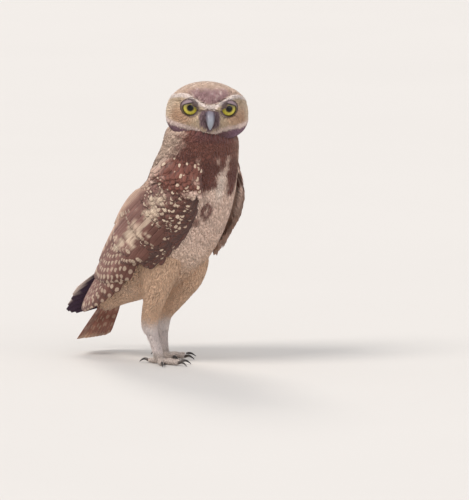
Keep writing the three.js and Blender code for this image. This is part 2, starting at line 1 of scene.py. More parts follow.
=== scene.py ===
"""A fledged young burrowing owl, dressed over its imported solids: skin, plumage, eyes, bill and claws.

Shapes are worked out in millimetres in the bird's own frame, +X the way the body faces, +Y its left side and
+Z up, from the same named rows as the solids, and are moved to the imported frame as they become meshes."""

import bpy
import numpy as np
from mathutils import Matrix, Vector


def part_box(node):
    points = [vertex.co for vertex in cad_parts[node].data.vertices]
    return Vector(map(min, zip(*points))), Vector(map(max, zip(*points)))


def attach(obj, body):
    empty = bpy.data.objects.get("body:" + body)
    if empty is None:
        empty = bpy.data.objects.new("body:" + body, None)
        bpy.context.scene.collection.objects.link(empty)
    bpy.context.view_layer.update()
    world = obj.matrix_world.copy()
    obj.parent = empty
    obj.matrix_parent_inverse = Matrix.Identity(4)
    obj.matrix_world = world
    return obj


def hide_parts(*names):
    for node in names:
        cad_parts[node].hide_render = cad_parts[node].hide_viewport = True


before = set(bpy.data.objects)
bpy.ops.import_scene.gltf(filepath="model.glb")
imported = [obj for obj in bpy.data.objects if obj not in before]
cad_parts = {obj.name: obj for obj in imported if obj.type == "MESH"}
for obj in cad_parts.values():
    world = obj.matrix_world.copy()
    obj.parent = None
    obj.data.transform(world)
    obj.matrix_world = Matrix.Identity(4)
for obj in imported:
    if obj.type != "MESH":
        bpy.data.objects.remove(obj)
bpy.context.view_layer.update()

TURN = 2 * np.pi
SEED = 7
random = np.random.default_rng(SEED)

# Body rows, from inside the head to the rump: x, z, half width, depth to the back, depth to the breast
BODY = [[45, 199, 23, 22, 21], [43.5, 185, 29, 28, 25.5], [41.5, 170, 30.5, 30.5, 27.5],
        [36, 152, 34, 33, 30.5], [27, 132, 35.5, 33, 34], [14, 113, 36, 33, 37],
        [-2, 96, 34.5, 31, 36.5], [-19, 80, 31, 27.5, 32], [-35, 66, 26, 22.5, 23],
        [-49, 53, 19, 16, 14], [-61, 39.5, 8.5, 6, 5]]
BODY_SQUARENESS = 2.25
BODY_GRID = (18, 26)
SPINE_LENGTH = 196
GIRTH = 215

# Head: its centre, its roll, pitch and yaw in degrees, and the reach of the skull to each side
HEAD_CENTRE = np.array([48, 0, 204.5])
HEAD_ANGLES = np.radians([-2, 2, -44.5])
SKULL = dict(face=25.5, nape=30, side=31.8, crown=23.6, chin=23, squareness=2.25, jowl=0.07)
DISC = dict(hollow=2.4, reach=0.45)
BROW = dict(height=2.2, away=0.58, width=0.23)
RIM = dict(height=1.5, away=0.9, width=0.2)
LORE = dict(height=2.2, width=0.24, low=-0.7, high=0.35)

# Eye: centre in the head's frame for the left one, ball, outward turn in radians, and the lids' opening
EYE_AT = np.array([13.2, 14.5, 5.6])
EYE_RADIUS = 8.6
EYE_TURN = np.radians(7)
CORNEA = dict(height=0.7, width=0.55)
# Lids: the opening's radius, its height above the eye's axis, their outer edge's radius, the slant of the
# upper one in radians, and the gap over the ball
LIDS = dict(opening=6.0, above=3.6, outer=8.4, slant=0.22, gap=0.3)

# Bill rows, from the root to the tip: x, z, half width, half height
UPPER_BILL = [[21.5, 1.2, 3.6, 3.6], [25.5, 0.9, 4.2, 3.8], [28.7, -0.5, 4, 3.5], [30.7, -3, 3.4, 3],
              [31.3, -5.9, 2.4, 2.1], [30.8, -8.4, 1.4, 1.3], [29.7, -10.4, 0.5, 0.5]]
LOWER_BILL = [[21, -4.4, 3.2, 1.7], [24.5, -4.8, 3.1, 1.8], [27, -5.9, 2.5, 1.6], [28.6, -7.3, 1.4, 1]]
NOSTRIL = dict(at=[28, 3.6, 0.1], radius=1.0)

# Wings: the side's sign, then rows from shoulder to tip: x, y, z, turn in degrees, the curve's radius, and
# the reach to the back and to the belly
WINGS = {
    "right": (-1, [[51, -29.5, 154, -6, 34, 13, 21], [27, -38.5, 131, 4, 39, 27, 33],
                   [3, -40.5, 107, 12, 41, 31, 28], [-22, -34.5, 84, 22, 38, 27, 19],
                   [-48, -23, 62, 34, 36, 19, 13], [-74, -11, 38, 44, 60, 8, 8]]),
    "left": (1, [[45, 40, 150, -2, 38, 13, 17], [25, 46, 130, 3, 42, 27, 28],
                 [-1, 44.5, 107, 12, 42, 31, 27], [-30, 35, 84, 24, 38, 27, 19],
                 [-65, 20, 59, 40, 38, 19, 13], [-104, 3, 28.5, 52, 60, 8, 8]]),
}
WING_LENGTH = 176
BACK_BEND = 0.8
BACKWARD_UP = np.array([-0.77, 0, 0.64])
# The wing's bed: its run, its thickness outside and inside, what its edge keeps from the wing's, the shares
# of its run that round off, the least share of its reach, and how far it sinks at its front
ARM = dict(start=-3, end=112, thick=5.4, thin=1.3, inside=9, rim_inside=3.2, margin=2, front=0.16, rear=0.2,
           least=0.25, sunk=1.8)

# Tiers of wing feathers: count, first and last root, first and last tip, each a distance along the wing and
# across it, then the bow of the line of tips, the width, and the heights at root and tip
RIGHT_TIERS = {
    "primaries": (10, [[84, -14], [86, -1]], [[122, -21], [173, -3]], 15, 9, [0.9, 1]),
    "secondaries": (11, [[74, -15], [76, 8]], [[102, -22], [140, 5]], 5, 9.5, [1.9, 2.9]),
    "tertials": (4, [[66, 8], [64, 21]], [[126, 9], [104, 18]], 3, 12, [2.8, 4.6]),
    "primary_coverts": (7, [[44, -22], [46, -12]], [[76, -22], [94, -12]], 2, 7, [2.4, 3.6]),
    "greater_coverts": (11, [[52, -11], [50, 15]], [[84, -11], [84, 17]], 6, 7.5, [3.4, 5.0]),
    "median_coverts": (10, [[36, -20], [32, 14]], [[58, -21], [60, 16]], 5, 7.5, [4.2, 5.8]),
    "scapulars": (7, [[30, 10], [40, 22]], [[58, 10], [90, 22]], -2, 9, [4.6, 6.2]),
}

# The left wing's primaries fan further towards its back edge, so they show beyond the right wing's
LEFT_TIERS = dict(RIGHT_TIERS, primaries=(
    12, [[84, -14], [92, 11]], [[122, -21], [165, 10]], 27, 9, [0.9, 1]))

# Tail: root, slope in degrees below level, length, radius of the fan's arch
TAIL = dict(x=-44, z=63, slope=np.radians(54), length=64, arch=70)

# Legs: the side's sign, then rows from inside the belly to the ankle: x, y, z, half thickness fore and aft,
# half width
LEGS = {
    "right": (-1, [[14, -16, 96, 21, 15], [14, -19, 78, 19, 13.5], [11.5, -19, 62, 13, 11],
                   [9, -18.5, 52, 9.4, 9], [5.2, -17.8, 43, 7.7, 7.4], [2.8, -17.2, 35, 7, 6.4],
                   [2.2, -17, 28, 6, 5.5], [4.6, -16.6, 21, 4.7, 4.5], [7.4, -16.1, 14, 4.2, 4.1],
                   [9.8, -15.7, 7.5, 4.1, 4.1], [11.2, -15.4, 3.2, 4.1, 4.2]]),
    "left": (1, [[11, 16, 96, 21, 15], [11, 19, 78, 19, 13.5], [8, 19, 62, 15, 12],
                 [1.5, 18.5, 50, 10.6, 9], [-6, 17.8, 40, 7.6, 7.2], [-11.2, 17.2, 33, 5.7, 5.8],
                 [-13, 17, 27, 5.2, 5.2], [-13.3, 16.7, 20, 4.5, 4.4], [-12.6, 16.3, 13, 4, 4],
                 [-11.4, 15.9, 7, 4, 4], [-10.6, 15.6, 3.2, 4.1, 4.2]]),
}
# Toes: heading in degrees from straight ahead to the outside, length, and the claw's length
TOES = {"inner": (-24, 17.5, 8.5), "middle": (4, 21, 9), "outer": (44, 17.5, 8), "hind": (166, 10, 7.5)}
TOE = dict(radius=2.7, end=1.95, height=2.35, swelling=0.14, pads=2)
CLAW = dict(radius=1.35, tip=0.3, height=2.5, tip_height=0.75, arch=1.1)


def unit(vectors):
    """Vectors divided by their own lengths."""
    return vectors / np.maximum(np.linalg.norm(vectors, axis=-1, keepdims=True), 1e-12)


def smoothstep(value, low, high):
    """0 below low, 1 above high, and 3t^2 - 2t^3 between them."""
    t = np.clip((value - low) / (high - low), 0, 1)
    return t * t * (3 - 2 * t)


def falling(value, low, high):
    """1 below low and 0 above high: 1 less the smoothstep."""
    return 1 - smoothstep(value, low, high)


def bell(distance, width):
    """exp of minus the square of distance over width: 1 at 0, and near 0 beyond two widths."""
    return np.exp(-((distance / width) ** 2))


def blend(start, end, share):
    """Start + (end - start) times the share."""
    return start + (end - start) * share


def dot(a, b):
    """Scalar product of two arrays of vectors, kept as a column."""
    return (a * b).sum(-1, keepdims=True)


def direction_at(azimuth, elevation):
    """Unit vector at an azimuth, from straight ahead towards the left, and an elevation, in radians."""
    flat = np.cos(elevation)
    return np.stack([flat * np.cos(azimuth), flat * np.sin(azimuth), np.sin(elevation)], -1)


def angles(direction):
    """Azimuth and elevation of unit vectors."""
    x, y, z = np.moveaxis(direction, -1, 0)
    return np.arctan2(y, x), np.arcsin(np.clip(z, -1, 1))


def swayed(lie, side, sway):
    """Two vectors at right angles, both turned by an angle: lie cos + side sin, and side cos - lie sin."""
    c, s = np.cos(sway)[:, None], np.sin(sway)[:, None]
    return lie * c + side * s, side * c - lie * s


def linear(red, green, blue):
    """A colour as the eye reads it, 0 to 255, as linear light: c to the power 2.2."""
    return (np.array([red, green, blue]) / 255) ** 2.2


def along(rows, u):
    """The row of values at u, 0 to 1, on a cubic through the rows that passes each with the slope between
    its two neighbours."""
    rows = np.asarray(rows, float)
    padded = np.vstack([2 * rows[0] - rows[1], rows, 2 * rows[-1] - rows[-2]])
    place = np.clip(u, 0, 1) * (len(rows) - 1)
    i = np.minimum(place.astype(int), len(rows) - 2)
    t = (place - i)[..., None]
    a, b, d, e = (padded[i + k] for k in range(4))
    slope, curve, twist = d - a, 2 * a - 5 * b + 4 * d - e, 3 * b - a - 3 * d + e
    return b + 0.5 * (slope * t + curve * t**2 + twist * t**3)


def heading(rows, u, columns):
    """Unit vector along which chosen columns of the rows change at u."""
    step = 0.01
    after = along(rows, np.minimum(u + step, 1))[..., columns]
    return unit(after - along(rows, np.maximum(u - step, 0))[..., columns])


def body_sheet(place, height):
    """The body at place (u along the spine, v round it from the back over the right side): a superellipse of
    power 2.25 across the spine's run, grown outwards by height."""
    u, v = place[..., 0], place[..., 1]
    x, z, width, back, breast = np.moveaxis(along(BODY, u), -1, 0)
    run = heading(BODY, u, [0, 1])
    c, s = np.cos(v * TURN), np.sin(v * TURN)
    n = BODY_SQUARENESS
    fullness = (np.abs(c) ** n + np.abs(s) ** n) ** (-1 / n)
    depth = c * fullness * (np.where(c > 0, back, breast) + height)
    return np.stack([x + run[..., 1] * depth, -s * fullness * (width + height), z - run[..., 0] * depth], -1)


def head_frame():
    """The head's turn as a matrix: roll about X, then pitch about Y, then yaw about Z."""
    c, s = np.cos(HEAD_ANGLES), np.sin(HEAD_ANGLES)
    about_x = np.array([[1, 0, 0], [0, c[0], -s[0]], [0, s[0], c[0]]])
    about_y = np.array([[c[1], 0, s[1]], [0, 1, 0], [-s[1], 0, c[1]]])
    about_z = np.array([[c[2], -s[2], 0], [s[2], c[2], 0], [0, 0, 1]])
    return about_z @ about_y @ about_x


HEAD_FRAME = head_frame()


def in_head(points):
    """Points of the head's own frame in the bird's frame."""
    return points @ HEAD_FRAME.T + HEAD_CENTRE


def to_head(points):
    """Points of the bird's frame in the head's own frame."""
    return (points - HEAD_CENTRE) @ HEAD_FRAME


def eye_relief(direction, hand):
    """Relief round one eye: a brow over it and a rim beside it, less the disc's hollow, each a bell of the
    angle from the eye."""
    towards = unit(np.array([22, hand * EYE_AT[1], EYE_AT[2]]))
    away = np.arccos(np.clip(direction @ towards, -1, 1))
    up = direction[..., 2] - towards[2]
    outward = (direction[..., 1] - towards[1]) * hand
    over = smoothstep(up + 0.3 * np.maximum(-outward, 0), 0, 0.5)
    beside = smoothstep(outward - 0.3 * np.maximum(up, 0), -0.15, 0.4)
    brow = BROW["height"] * bell(away - BROW["away"], BROW["width"]) * over
    rim = RIM["height"] * bell(away - RIM["away"], RIM["width"]) * beside
    return brow + rim - DISC["hollow"] * bell(away, DISC["reach"])


def head_reach(direction):
    """Distance from the head's centre to its surface along a unit direction: a rounded box of power 2.25,
    wider at the cheeks, with the relief of the two eyes and the ridge between them."""
    x, y, z = np.moveaxis(direction, -1, 0)
    azimuth, elevation = angles(direction)
    n = SKULL["squareness"]
    skull = (
        np.abs(x / np.where(x > 0, SKULL["face"], SKULL["nape"])) ** n
        + np.abs(y / SKULL["side"]) ** n
        + np.abs(z / np.where(z > 0, SKULL["crown"], SKULL["chin"])) ** n
    ) ** (-1 / n)
    skull = skull * (1 + SKULL["jowl"] * np.maximum(-z, -0.5) * np.abs(y))
    rising = smoothstep(elevation, LORE["low"], LORE["low"] + 0.3)
    fading = falling(elevation, LORE["high"] - 0.25, LORE["high"] + 0.1)
    lore = LORE["height"] * bell(azimuth, LORE["width"]) * rising * fading * (x > 0)
    return skull + eye_relief(direction, -1) + eye_relief(direction, 1) + lore


def head_sheet(direction, height):
    """The head's surface along a direction, raised by height."""
    direction = unit(direction)
    return in_head(direction * (head_reach(direction) + height)[..., None])


def off_head(points):
    """How far points of the bird's frame lie outside the head, along their own directions from its centre."""
    local = to_head(points)
    return np.linalg.norm(local, axis=1) - head_reach(unit(local))


def wing_sheet(side):
    """The sheet of a folded wing at place (length from the shoulder, distance across towards the back): an
    arc across each row, tighter over the back, raised outwards by height."""
    hand, rows = WINGS[side]

    def sheet(place, height):
        length, across = place[..., 0], place[..., 1]
        x, y, z, turn, radius = np.moveaxis(along(rows, length / WING_LENGTH)[..., :5], -1, 0)
        run = heading(rows, length / WING_LENGTH, [0, 1, 2])
        turn = np.radians(turn)[..., None]
        out = np.array([0, hand, 0]) * np.cos(turn) + BACKWARD_UP * np.sin(turn)
        out = unit(out - run * dot(out, run))
        towards_back = -hand * np.cross(run, out)
        bend = np.where(across > 0, radius * BACK_BEND, radius)
        angle = across / bend
        rise = ((bend + height) * np.cos(angle) - bend)[..., None]
        aside = ((bend + height) * np.sin(angle))[..., None]
        return np.stack([x, y, z], -1) + out * rise + towards_back * aside

    return sheet


def tail_sheet(place, height):
    """The tail's fan at place (length from its root, distance towards its left): an arc about its run."""
    length, across = place[..., 0], place[..., 1]
    slope, arch = TAIL["slope"], TAIL["arch"]
    angle = across / arch
    rise = (arch + height) * np.cos(angle) - arch
    x = TAIL["x"] - np.cos(slope) * length - np.sin(slope) * rise
    z = TAIL["z"] - np.sin(slope) * length + np.cos(slope) * rise
    return np.stack([x, (arch + height) * np.sin(angle), z], -1)


def leg_sheet(side):
    """A leg at place (u down it, v round it from its front): an ellipse at each row, grown by height."""
    rows = LEGS[side][1]

    def sheet(place, height):
        x, y, z, fore, wide = np.moveaxis(along(rows, place[..., 0]), -1, 0)
        c, s = np.cos(place[..., 1] * TURN), np.sin(place[..., 1] * TURN)
        return np.stack([x + c * (fore + height), y + s * (wide + height), z], -1)

    return sheet


def sheet_frame(sheet, place, steps):
    """How a sheet's point moves with each of its two numbers, and its outward unit normal."""
    base = sheet(place, 0)
    by_first = (sheet(place + [steps[0], 0], 0) - base) / steps[0]
    by_second = (sheet(place + [0, steps[1]], 0) - base) / steps[1]
    return by_first, by_second, unit(sheet(place, 1) - base)


def moves(sheet, place, steps, sway):
    """The changes of the two numbers that lead 1 mm along the lie of the feathers and 1 mm to its side. The
    lie is the sheet's first run, turned by the angle sway, and the change solves the 2 by 2 equations of the
    sheet's frame."""
    by_first, by_second, up = sheet_frame(sheet, place, steps)
    lie = unit(by_first - up * dot(by_first, up))
    lie, side = swayed(lie, np.cross(lie, up), sway)
    aa, ab, bb = dot(by_first, by_first), dot(by_first, by_second), dot(by_second, by_second)

    def solved(vector):
        a, b = dot(vector, by_first), dot(vector, by_second)
        return np.concatenate([a * bb - b * ab, b * aa - a * ab], -1) / (aa * bb - ab * ab)

    return solved(lie), solved(side)


def even_shares(count):
    """Points that fill a unit cube evenly: multiples of three irrational steps, less their whole parts."""
    steps = np.array([0.8191725134, 0.6710436067, 0.5497004779])
    return (0.5 + np.arange(1, count + 1)[:, None] * steps) % 1


def scattered(sheet, low, high, steps, count, density=None):
    """Places spread over a sheet as evenly as its area and the density ask: each even share is kept if its
    third number lies under the local area times density, over the largest such product."""
    low, high = np.array(low, float), np.array(high, float)

    def chance(place):
        by_first, by_second, _ = sheet_frame(sheet, place, steps)
        area = np.linalg.norm(np.cross(by_first, by_second), axis=-1)
        return area if density is None else area * density(place[..., 0], place[..., 1])

    trials = 4000
    trial = low + even_shares(trials)[:, :2] * (high - low)
    trial_chance = chance(trial)
    top = trial_chance.max()
    shares = even_shares(int(count * top / trial_chance.mean()))
    place = low + shares[:, :2] * (high - low)
    return place[shares[:, 2] < chance(place) / top]


# Meshes


def frame_shift():
    """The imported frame's shift from the bird's, found where the torso's box meets the body's formula."""
    steps, sides = BODY_GRID
    u, v = np.meshgrid(np.arange(steps + 1) / steps, np.arange(sides) / sides, indexing="ij")
    rear = body_sheet(np.stack([u, v], -1), 0)[..., 0].min()
    low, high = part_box("torso")
    return np.array([low.x * 1000 - rear, (low.y + high.y) * 500, 0])


SHIFT = frame_shift()


def placed(points):
    """Points of the bird's frame, in millimetres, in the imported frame, in metres."""
    return (points + SHIFT) / 1000


def make_mesh(name, points, faces, material):
    """A smooth mesh object from points in the bird's frame and arrays of triangles or quads."""
    mesh = bpy.data.meshes.new(name)
    groups = [np.asarray(group) for group in faces if len(group)]
    corners = np.concatenate([group.ravel() for group in groups])
    sizes = np.concatenate([np.full(len(group), group.shape[1]) for group in groups])
    mesh.vertices.add(len(points))
    mesh.vertices.foreach_set("co", placed(points).ravel())
    mesh.loops.add(len(corners))
    mesh.loops.foreach_set("vertex_index", corners)
    mesh.polygons.add(len(sizes))
    mesh.polygons.foreach_set("loop_start", np.concatenate([[0], np.cumsum(sizes)[:-1]]))
    mesh.polygons.foreach_set("loop_total", sizes)
    mesh.polygons.foreach_set("use_smooth", np.full(len(sizes), True))
    mesh.update(calc_edges=True)
    mesh.materials.append(material)
    piece = bpy.data.objects.new(name, mesh)
    bpy.context.scene.collection.objects.link(piece)
    return piece


def set_tint(piece, tint):
    """The plumage or skin colour of each vertex, kept as the attribute tint."""
    colours = np.concatenate([tint.reshape(-1, 3), np.ones((tint.size // 3, 1))], 1)
    attribute = piece.data.attributes.new("tint", "FLOAT_COLOR", "POINT")
    attribute.data.foreach_set("color", colours.ravel())


def set_number(piece, name, values):
    """A number for each vertex, kept as a named attribute."""
    attribute = piece.data.attributes.new(name, "FLOAT", "POINT")
    attribute.data.foreach_set("value", np.asarray(values, float).ravel())


def set_map(piece, name, places):
    """A map with one place per vertex, the same in every face that meets there."""
    corners = np.zeros(len(piece.data.loops), int)
    piece.data.loops.foreach_get("vertex_index", corners)
    piece.data.uv_layers.new(name=name).data.foreach_set("uv", places[corners].ravel())


def set_skin(piece, tint, scales):
    """The colour and the share of scales of each vertex of bare skin."""
    set_tint(piece, tint)
    set_number(piece, "scales", np.broadcast_to(scales, len(piece.data.vertices)))


def patch_at(across, down):
    """A place on the map OFBake, from two shares of its sides, inside a margin of 0.02."""
    return 0.02 + 0.96 * np.stack([across, down], -1)


def belongs(piece, slot, *nodes):
    """The piece rides on the one body and stands for the nodes, whose solids it hides. The slot is not used.
    """
    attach(piece, "root")
    if nodes:
        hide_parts(*nodes)
    return piece


def tube_faces(steps, sides):
    """Quads of a tube of steps + 1 rings, and the triangles that close it at its two poles, whose points
    come after the rings."""
    i, j = np.meshgrid(np.arange(steps), np.arange(sides), indexing="ij")
    a, b = i * sides + j, i * sides + (j + 1) % sides
    quads = np.stack([a, a + sides, b + sides, b], -1).reshape(-1, 4)
    ring = np.arange(sides)
    after = (ring + 1) % sides
    last = steps * sides
    pole = last + sides
    start = np.stack([np.full(sides, pole), ring, after], -1)
    end = np.stack([np.full(sides, pole + 1), last + after, last + ring], -1)
    return [quads, np.concatenate([start, end])]


def turned_in(points, faces, core):
    """True where faces turn inwards: their signed volume about the core is negative."""
    a, b, c = (points[faces[:, corner]] for corner in range(3))
    return (np.cross(b - a, c - a) * (a - core)).sum() < 0


def closed_tube(surface, steps, sides):
    """Points and faces of a closed tube: surface(u, v) on a grid, with a pole at the middle of each end ring.
    A tube whose signed volume is negative has its faces turned round."""
    u, v = np.meshgrid(np.arange(steps + 1) / steps, np.arange(sides) / sides, indexing="ij")
    grid = surface(u, v)
    points = np.concatenate([grid.reshape(-1, 3), grid[:1].mean(1), grid[-1:].mean(1)])
    faces = tube_faces(steps, sides)
    if turned_in(points, faces[0], points.mean(0)):
        faces = [group[:, ::-1] for group in faces]
    return points, faces


def tube_run(steps, sides):
    """The first number at each point of a closed tube, 0 at its first pole and 1 at its last."""
    return np.append(np.repeat(np.arange(steps + 1) / steps, sides), [0, 1])


def merged(parts):
    """Several lots of points and faces as one."""
    points, faces, start = [], [], 0
    for part_points, part_faces in parts:
        points.append(part_points)
        faces += [group + start for group in part_faces]
        start += len(part_points)
    return np.concatenate(points), faces


# Vanes


class Vane:
    """A closed form of one feather. Each vertex has s, from root 0 to tip 1, w, from -1 to 1 across it, and
    t, the share of its thickness. Triangles face outwards where across, along and up are right-handed."""

    def __init__(self, s, w, t, triangles):
        self.s, self.w, self.t, self.triangles = s, w, t, triangles

    def copies(self, count):
        """Triangles of a number of copies, one after another."""
        return (self.triangles[None] + len(self.s) * np.arange(count)[:, None, None]).reshape(-1, 3)

    def patches(self, patch, size):
        """Places of its copies on the map OFBake: a square of half side size round each copy's own place."""
        local = np.stack([self.w, 2 * self.s - 1], -1)
        size = np.broadcast_to(np.asarray(size, float), len(patch))[:, None, None]
        return (patch[:, None] + local * size).reshape(-1, 2)


def round_outline(s):
    """Half width of a feather from root to tip: a square root up to a third, then full, then a round end."""
    return np.sqrt(np.clip(s / 0.35, 0, 1)) * np.sqrt(1 - np.clip((s - 0.62) / 0.38, 0, 1) ** 2.6)


def quill_outline(s):
    """Half width of a flight feather: it widens slowly and ends in a blunter round."""
    return (0.55 + 0.45 * smoothstep(s, 0, 0.5)) * np.sqrt(1 - np.clip((s - 0.86) / 0.14, 0, 1) ** 2.2)


def soft_outline(s):
    """Half width of a loose, pointed tuft: a sine that leans to the root."""
    return np.sin(np.pi * np.clip(s, 0, 1) ** 0.75) ** 0.8


def lens(stations, outline):
    """A small feather: a point, rings of right edge, keel above, left edge and keel below, and a point."""
    s = np.array(stations)
    share = outline(s)
    count = len(s)
    w = np.outer(share, [1, 0, -1, 0]).ravel()
    t = np.outer(np.sqrt(share), [0, 1, 0, -0.6]).ravel()
    ring = 1 + np.arange(count)[:, None] * 4 + np.arange(4)
    after = np.roll(ring, -1, axis=1)
    root = np.stack([np.zeros(4, int), ring[0], after[0]], -1)
    tip = np.stack([ring[-1], np.full(4, 4 * count + 1), after[-1]], -1)
    a, b, c, d = ring[:-1], ring[1:], after[1:], after[:-1]
    sides = np.concatenate([np.stack([a, b, c], -1).reshape(-1, 3), np.stack([a, c, d], -1).reshape(-1, 3)])
    return Vane(
        np.concatenate([[0], np.repeat(s, 4), [1]]),
        np.concatenate([[0], w, [0]]),
        np.concatenate([[0], t, [0]]),
        np.concatenate([root, sides, tip]),
    )


def slab(steps, columns, outline):
    """A large feather: a grid above and one below that share their rim, thin at the edges and thickest along
    the shaft."""
    s, w = np.meshgrid(np.linspace(0, 1, steps + 1) ** 0.9, np.linspace(-1, 1, columns), indexing="ij")
    s = np.minimum(s, 0.995)
    upper = 0.35 + 0.65 * (1 - np.abs(w)) ** 1.5
    width = w * np.maximum(outline(s), 0.06)
    count = s.size
    i, j = np.meshgrid(np.arange(steps), np.arange(columns - 1), indexing="ij")
    a = i * columns + j
    quads = np.stack([a, a + 1, a + columns + 1, a + columns], -1).reshape(-1, 4)
    rim = np.concatenate([
        np.arange(columns - 1),
        (np.arange(steps) + 1) * columns - 1,
        (steps + 1) * columns - 1 - np.arange(columns - 1),
        (steps - np.arange(steps)) * columns,
    ])
    after = np.roll(rim, -1)
    wall = np.stack([rim, rim + count, after + count, after], -1)
    quads = np.concatenate([quads, quads[:, ::-1] + count, wall])
    triangles = np.concatenate([quads[:, [0, 1, 2]], quads[:, [0, 2, 3]]])
    return Vane(
        np.tile(s.ravel(), 2),
        np.tile(width.ravel(), 2),
        np.concatenate([upper.ravel(), -upper.ravel()]),
        triangles,
    )


BODY_VANE = lens([0.3, 0.62, 0.88], round_outline)
COVERT_VANE = lens([0.22, 0.5, 0.78, 0.94], round_outline)
SOFT_VANE = lens([0.25, 0.55, 0.82], soft_outline)
BRISTLE_VANE = lens([0.2, 0.6], soft_outline)
QUILL = slab(12, 7, quill_outline)
COVERT = slab(10, 7, round_outline)

# The power of s by which a feather rises from root to tip, and the painted shade at its root, standing in for
# the shade between feathers, and its gain from there
RISE_POWER = 0.5
PAINTED_ROOT_SHADE = dict(root=0.92, gain=0.1, low=0.15, high=0.9)
# Half sides of a small and the least large feather's square on the map OFBake, and the reach of a large one's
# first spot from its usual place, in millimetres
SMALL_PATCH = 0.0015
LARGE_PATCH = 0.01
SPOT_PHASE = 2.2


def feathers(name, slot, sheet, place, moved, length, width, low, high, vane, thickness, colour, patch,
             material, tilt=0.0, camber=0.0, curl=0.0, spots=0.0, patch_size=SMALL_PATCH, jitter=1.0,
             contrast=0.07):
    """Feathers on a sheet. A vertex lies at place + s length along + w half width across, at a height that
    climbs from low at the root to high at the tip as the square root of s, plus the tilt times its distance
    across, the camber times 1 - w squared, and its share of the thickness. Its colour is the markings' at its
    own place, moved by a jitter in millimetres and made lighter or darker by a contrast, one for each
    feather, and darker at the root as painted shade between the feathers, lifting towards the tip."""
    ahead, aside = moved
    n = len(place)
    length, width, low, high, tilt, curl = (
        np.broadcast_to(np.asarray(value, float), n)[:, None]
        for value in (length, width, low, high, tilt, curl)
    )
    s, w, t = vane.s[None], vane.w[None], vane.t[None]
    across = w * width / 2
    sideways = across + curl * s * s * length
    spot = place[:, None] + ahead[:, None] * (s * length)[..., None] + aside[:, None] * sideways[..., None]
    height = blend(low, high, s**RISE_POWER) + tilt * across + camber * (1 - w * w) * s + t * thickness / 2
    piece = make_mesh(name, sheet(spot, height).reshape(-1, 3), [vane.copies(n)], material)
    stray = ahead * random.normal(0, jitter, (n, 1)) + aside * random.normal(0, jitter, (n, 1))
    # Each feather is darkened towards its root as painted shade between the feathers; shade is that painted
    # shade times the feather's own random tone
    painted_root_shade = PAINTED_ROOT_SHADE["root"] + PAINTED_ROOT_SHADE["gain"] * smoothstep(s, PAINTED_ROOT_SHADE["low"], PAINTED_ROOT_SHADE["high"])
    shade = np.clip(random.normal(1, contrast, (n, 1)), 0.6, 1.4) * painted_root_shade
    set_tint(piece, np.clip(colour(spot + stray[:, None]) * shade[..., None], 0, 1))
    phase = random.uniform(-SPOT_PHASE, SPOT_PHASE, (n, 1)) * (patch_size > LARGE_PATCH)
    from_tip = (1 - s) * length + phase
    set_map(piece, "vane", np.stack(np.broadcast_arrays(w, from_tip), -1).reshape(-1, 2))
    set_map(piece, "OFBake", vane.patches(patch, patch_size))
    set_number(piece, "spots", np.repeat(np.broadcast_to(spots, n), len(vane.s)))
    return belongs(piece, slot)


# Markings

# The lower edge of the forehead's colour: azimuth and elevation on the head, in degrees
BROW_LINE = ([0, 8, 18, 30, 44, 60, 80, 100], [17, 17.5, 22, 28, 31.5, 31, 25, 14])


def eye_way(hand):
    """Direction in which an eye's front shows on the head."""
    return unit(EYE_AT * [1, hand, 1] + 8 * np.array([np.cos(EYE_TURN), hand * np.sin(EYE_TURN), 0.03]))


def from_eye(direction, hand):
    """Angle of unit vectors of the head from the direction in which an eye shows."""
    return np.arccos(np.clip(direction @ eye_way(hand), -1, 1))


def plain(colour, like):
    """One colour for each number of an array."""
    return np.broadcast_to(colour, np.shape(like) + (3,))


def over(tint, *layers):
    """Colours laid over one another in turn, each by its own mask."""
    for colour, mask in layers:
        tint = blend(tint, np.asarray(colour), np.asarray(mask)[..., None])
    return tint


def dappled(tint, change):
    """A colour made lighter or darker by a share of itself, and kept between 0 and 1."""
    return np.clip(tint * (1 + change)[..., None], 0, 1)


def ripple(points, scale, seed):
    """Smooth noise from about -1 to 1: the mean of eight sines along seeded directions."""
    draw = np.random.default_rng(seed)
    directions = unit(draw.normal(size=(8, points.shape[-1])))
    phases = draw.uniform(0, TURN, 8)
    rates = draw.uniform(0.7, 1.5, 8) * TURN / scale
    return np.sin((points @ directions.T) * rates + phases).mean(-1) * 2.2


BUFF = linear(238, 206, 188)
WARM_BUFF = linear(222, 184, 154)
WHITISH = linear(240, 220, 206)
CREAM = linear(214, 192, 168)
BIB = linear(124, 82, 72)
DARK_BIB = linear(116, 76, 68)
MANTLE = linear(126, 92, 78)
NAPE = linear(214, 186, 166)
WING = linear(128, 96, 88)
WING_DARK = linear(94, 62, 54)
TAN = linear(208, 174, 150)
# Painted shade for the left wing's tip
PAINTED_SHADE_BLUE_BLACK = linear(60, 48, 66)
SHAFT = linear(60, 36, 32)
CROWN = linear(206, 176, 154)
FOREHEAD = linear(166, 132, 132)
CHEEK = linear(190, 152, 124)
FACE = linear(208, 184, 156)
MOUSTACHE = linear(226, 202, 192)
THROAT = linear(104, 70, 70)
PURPLE = linear(138, 108, 128)
LORES = linear(116, 94, 104)
LID = linear(84, 66, 72)
PALE_RIM = linear(216, 192, 166)
BROW_WHITE = linear(240, 222, 212)
RUFOUS = linear(150, 106, 92)
TAIL_BAR = linear(118, 76, 64)
TARSUS = linear(226, 212, 206)
TOE_SKIN = linear(186, 172, 162)


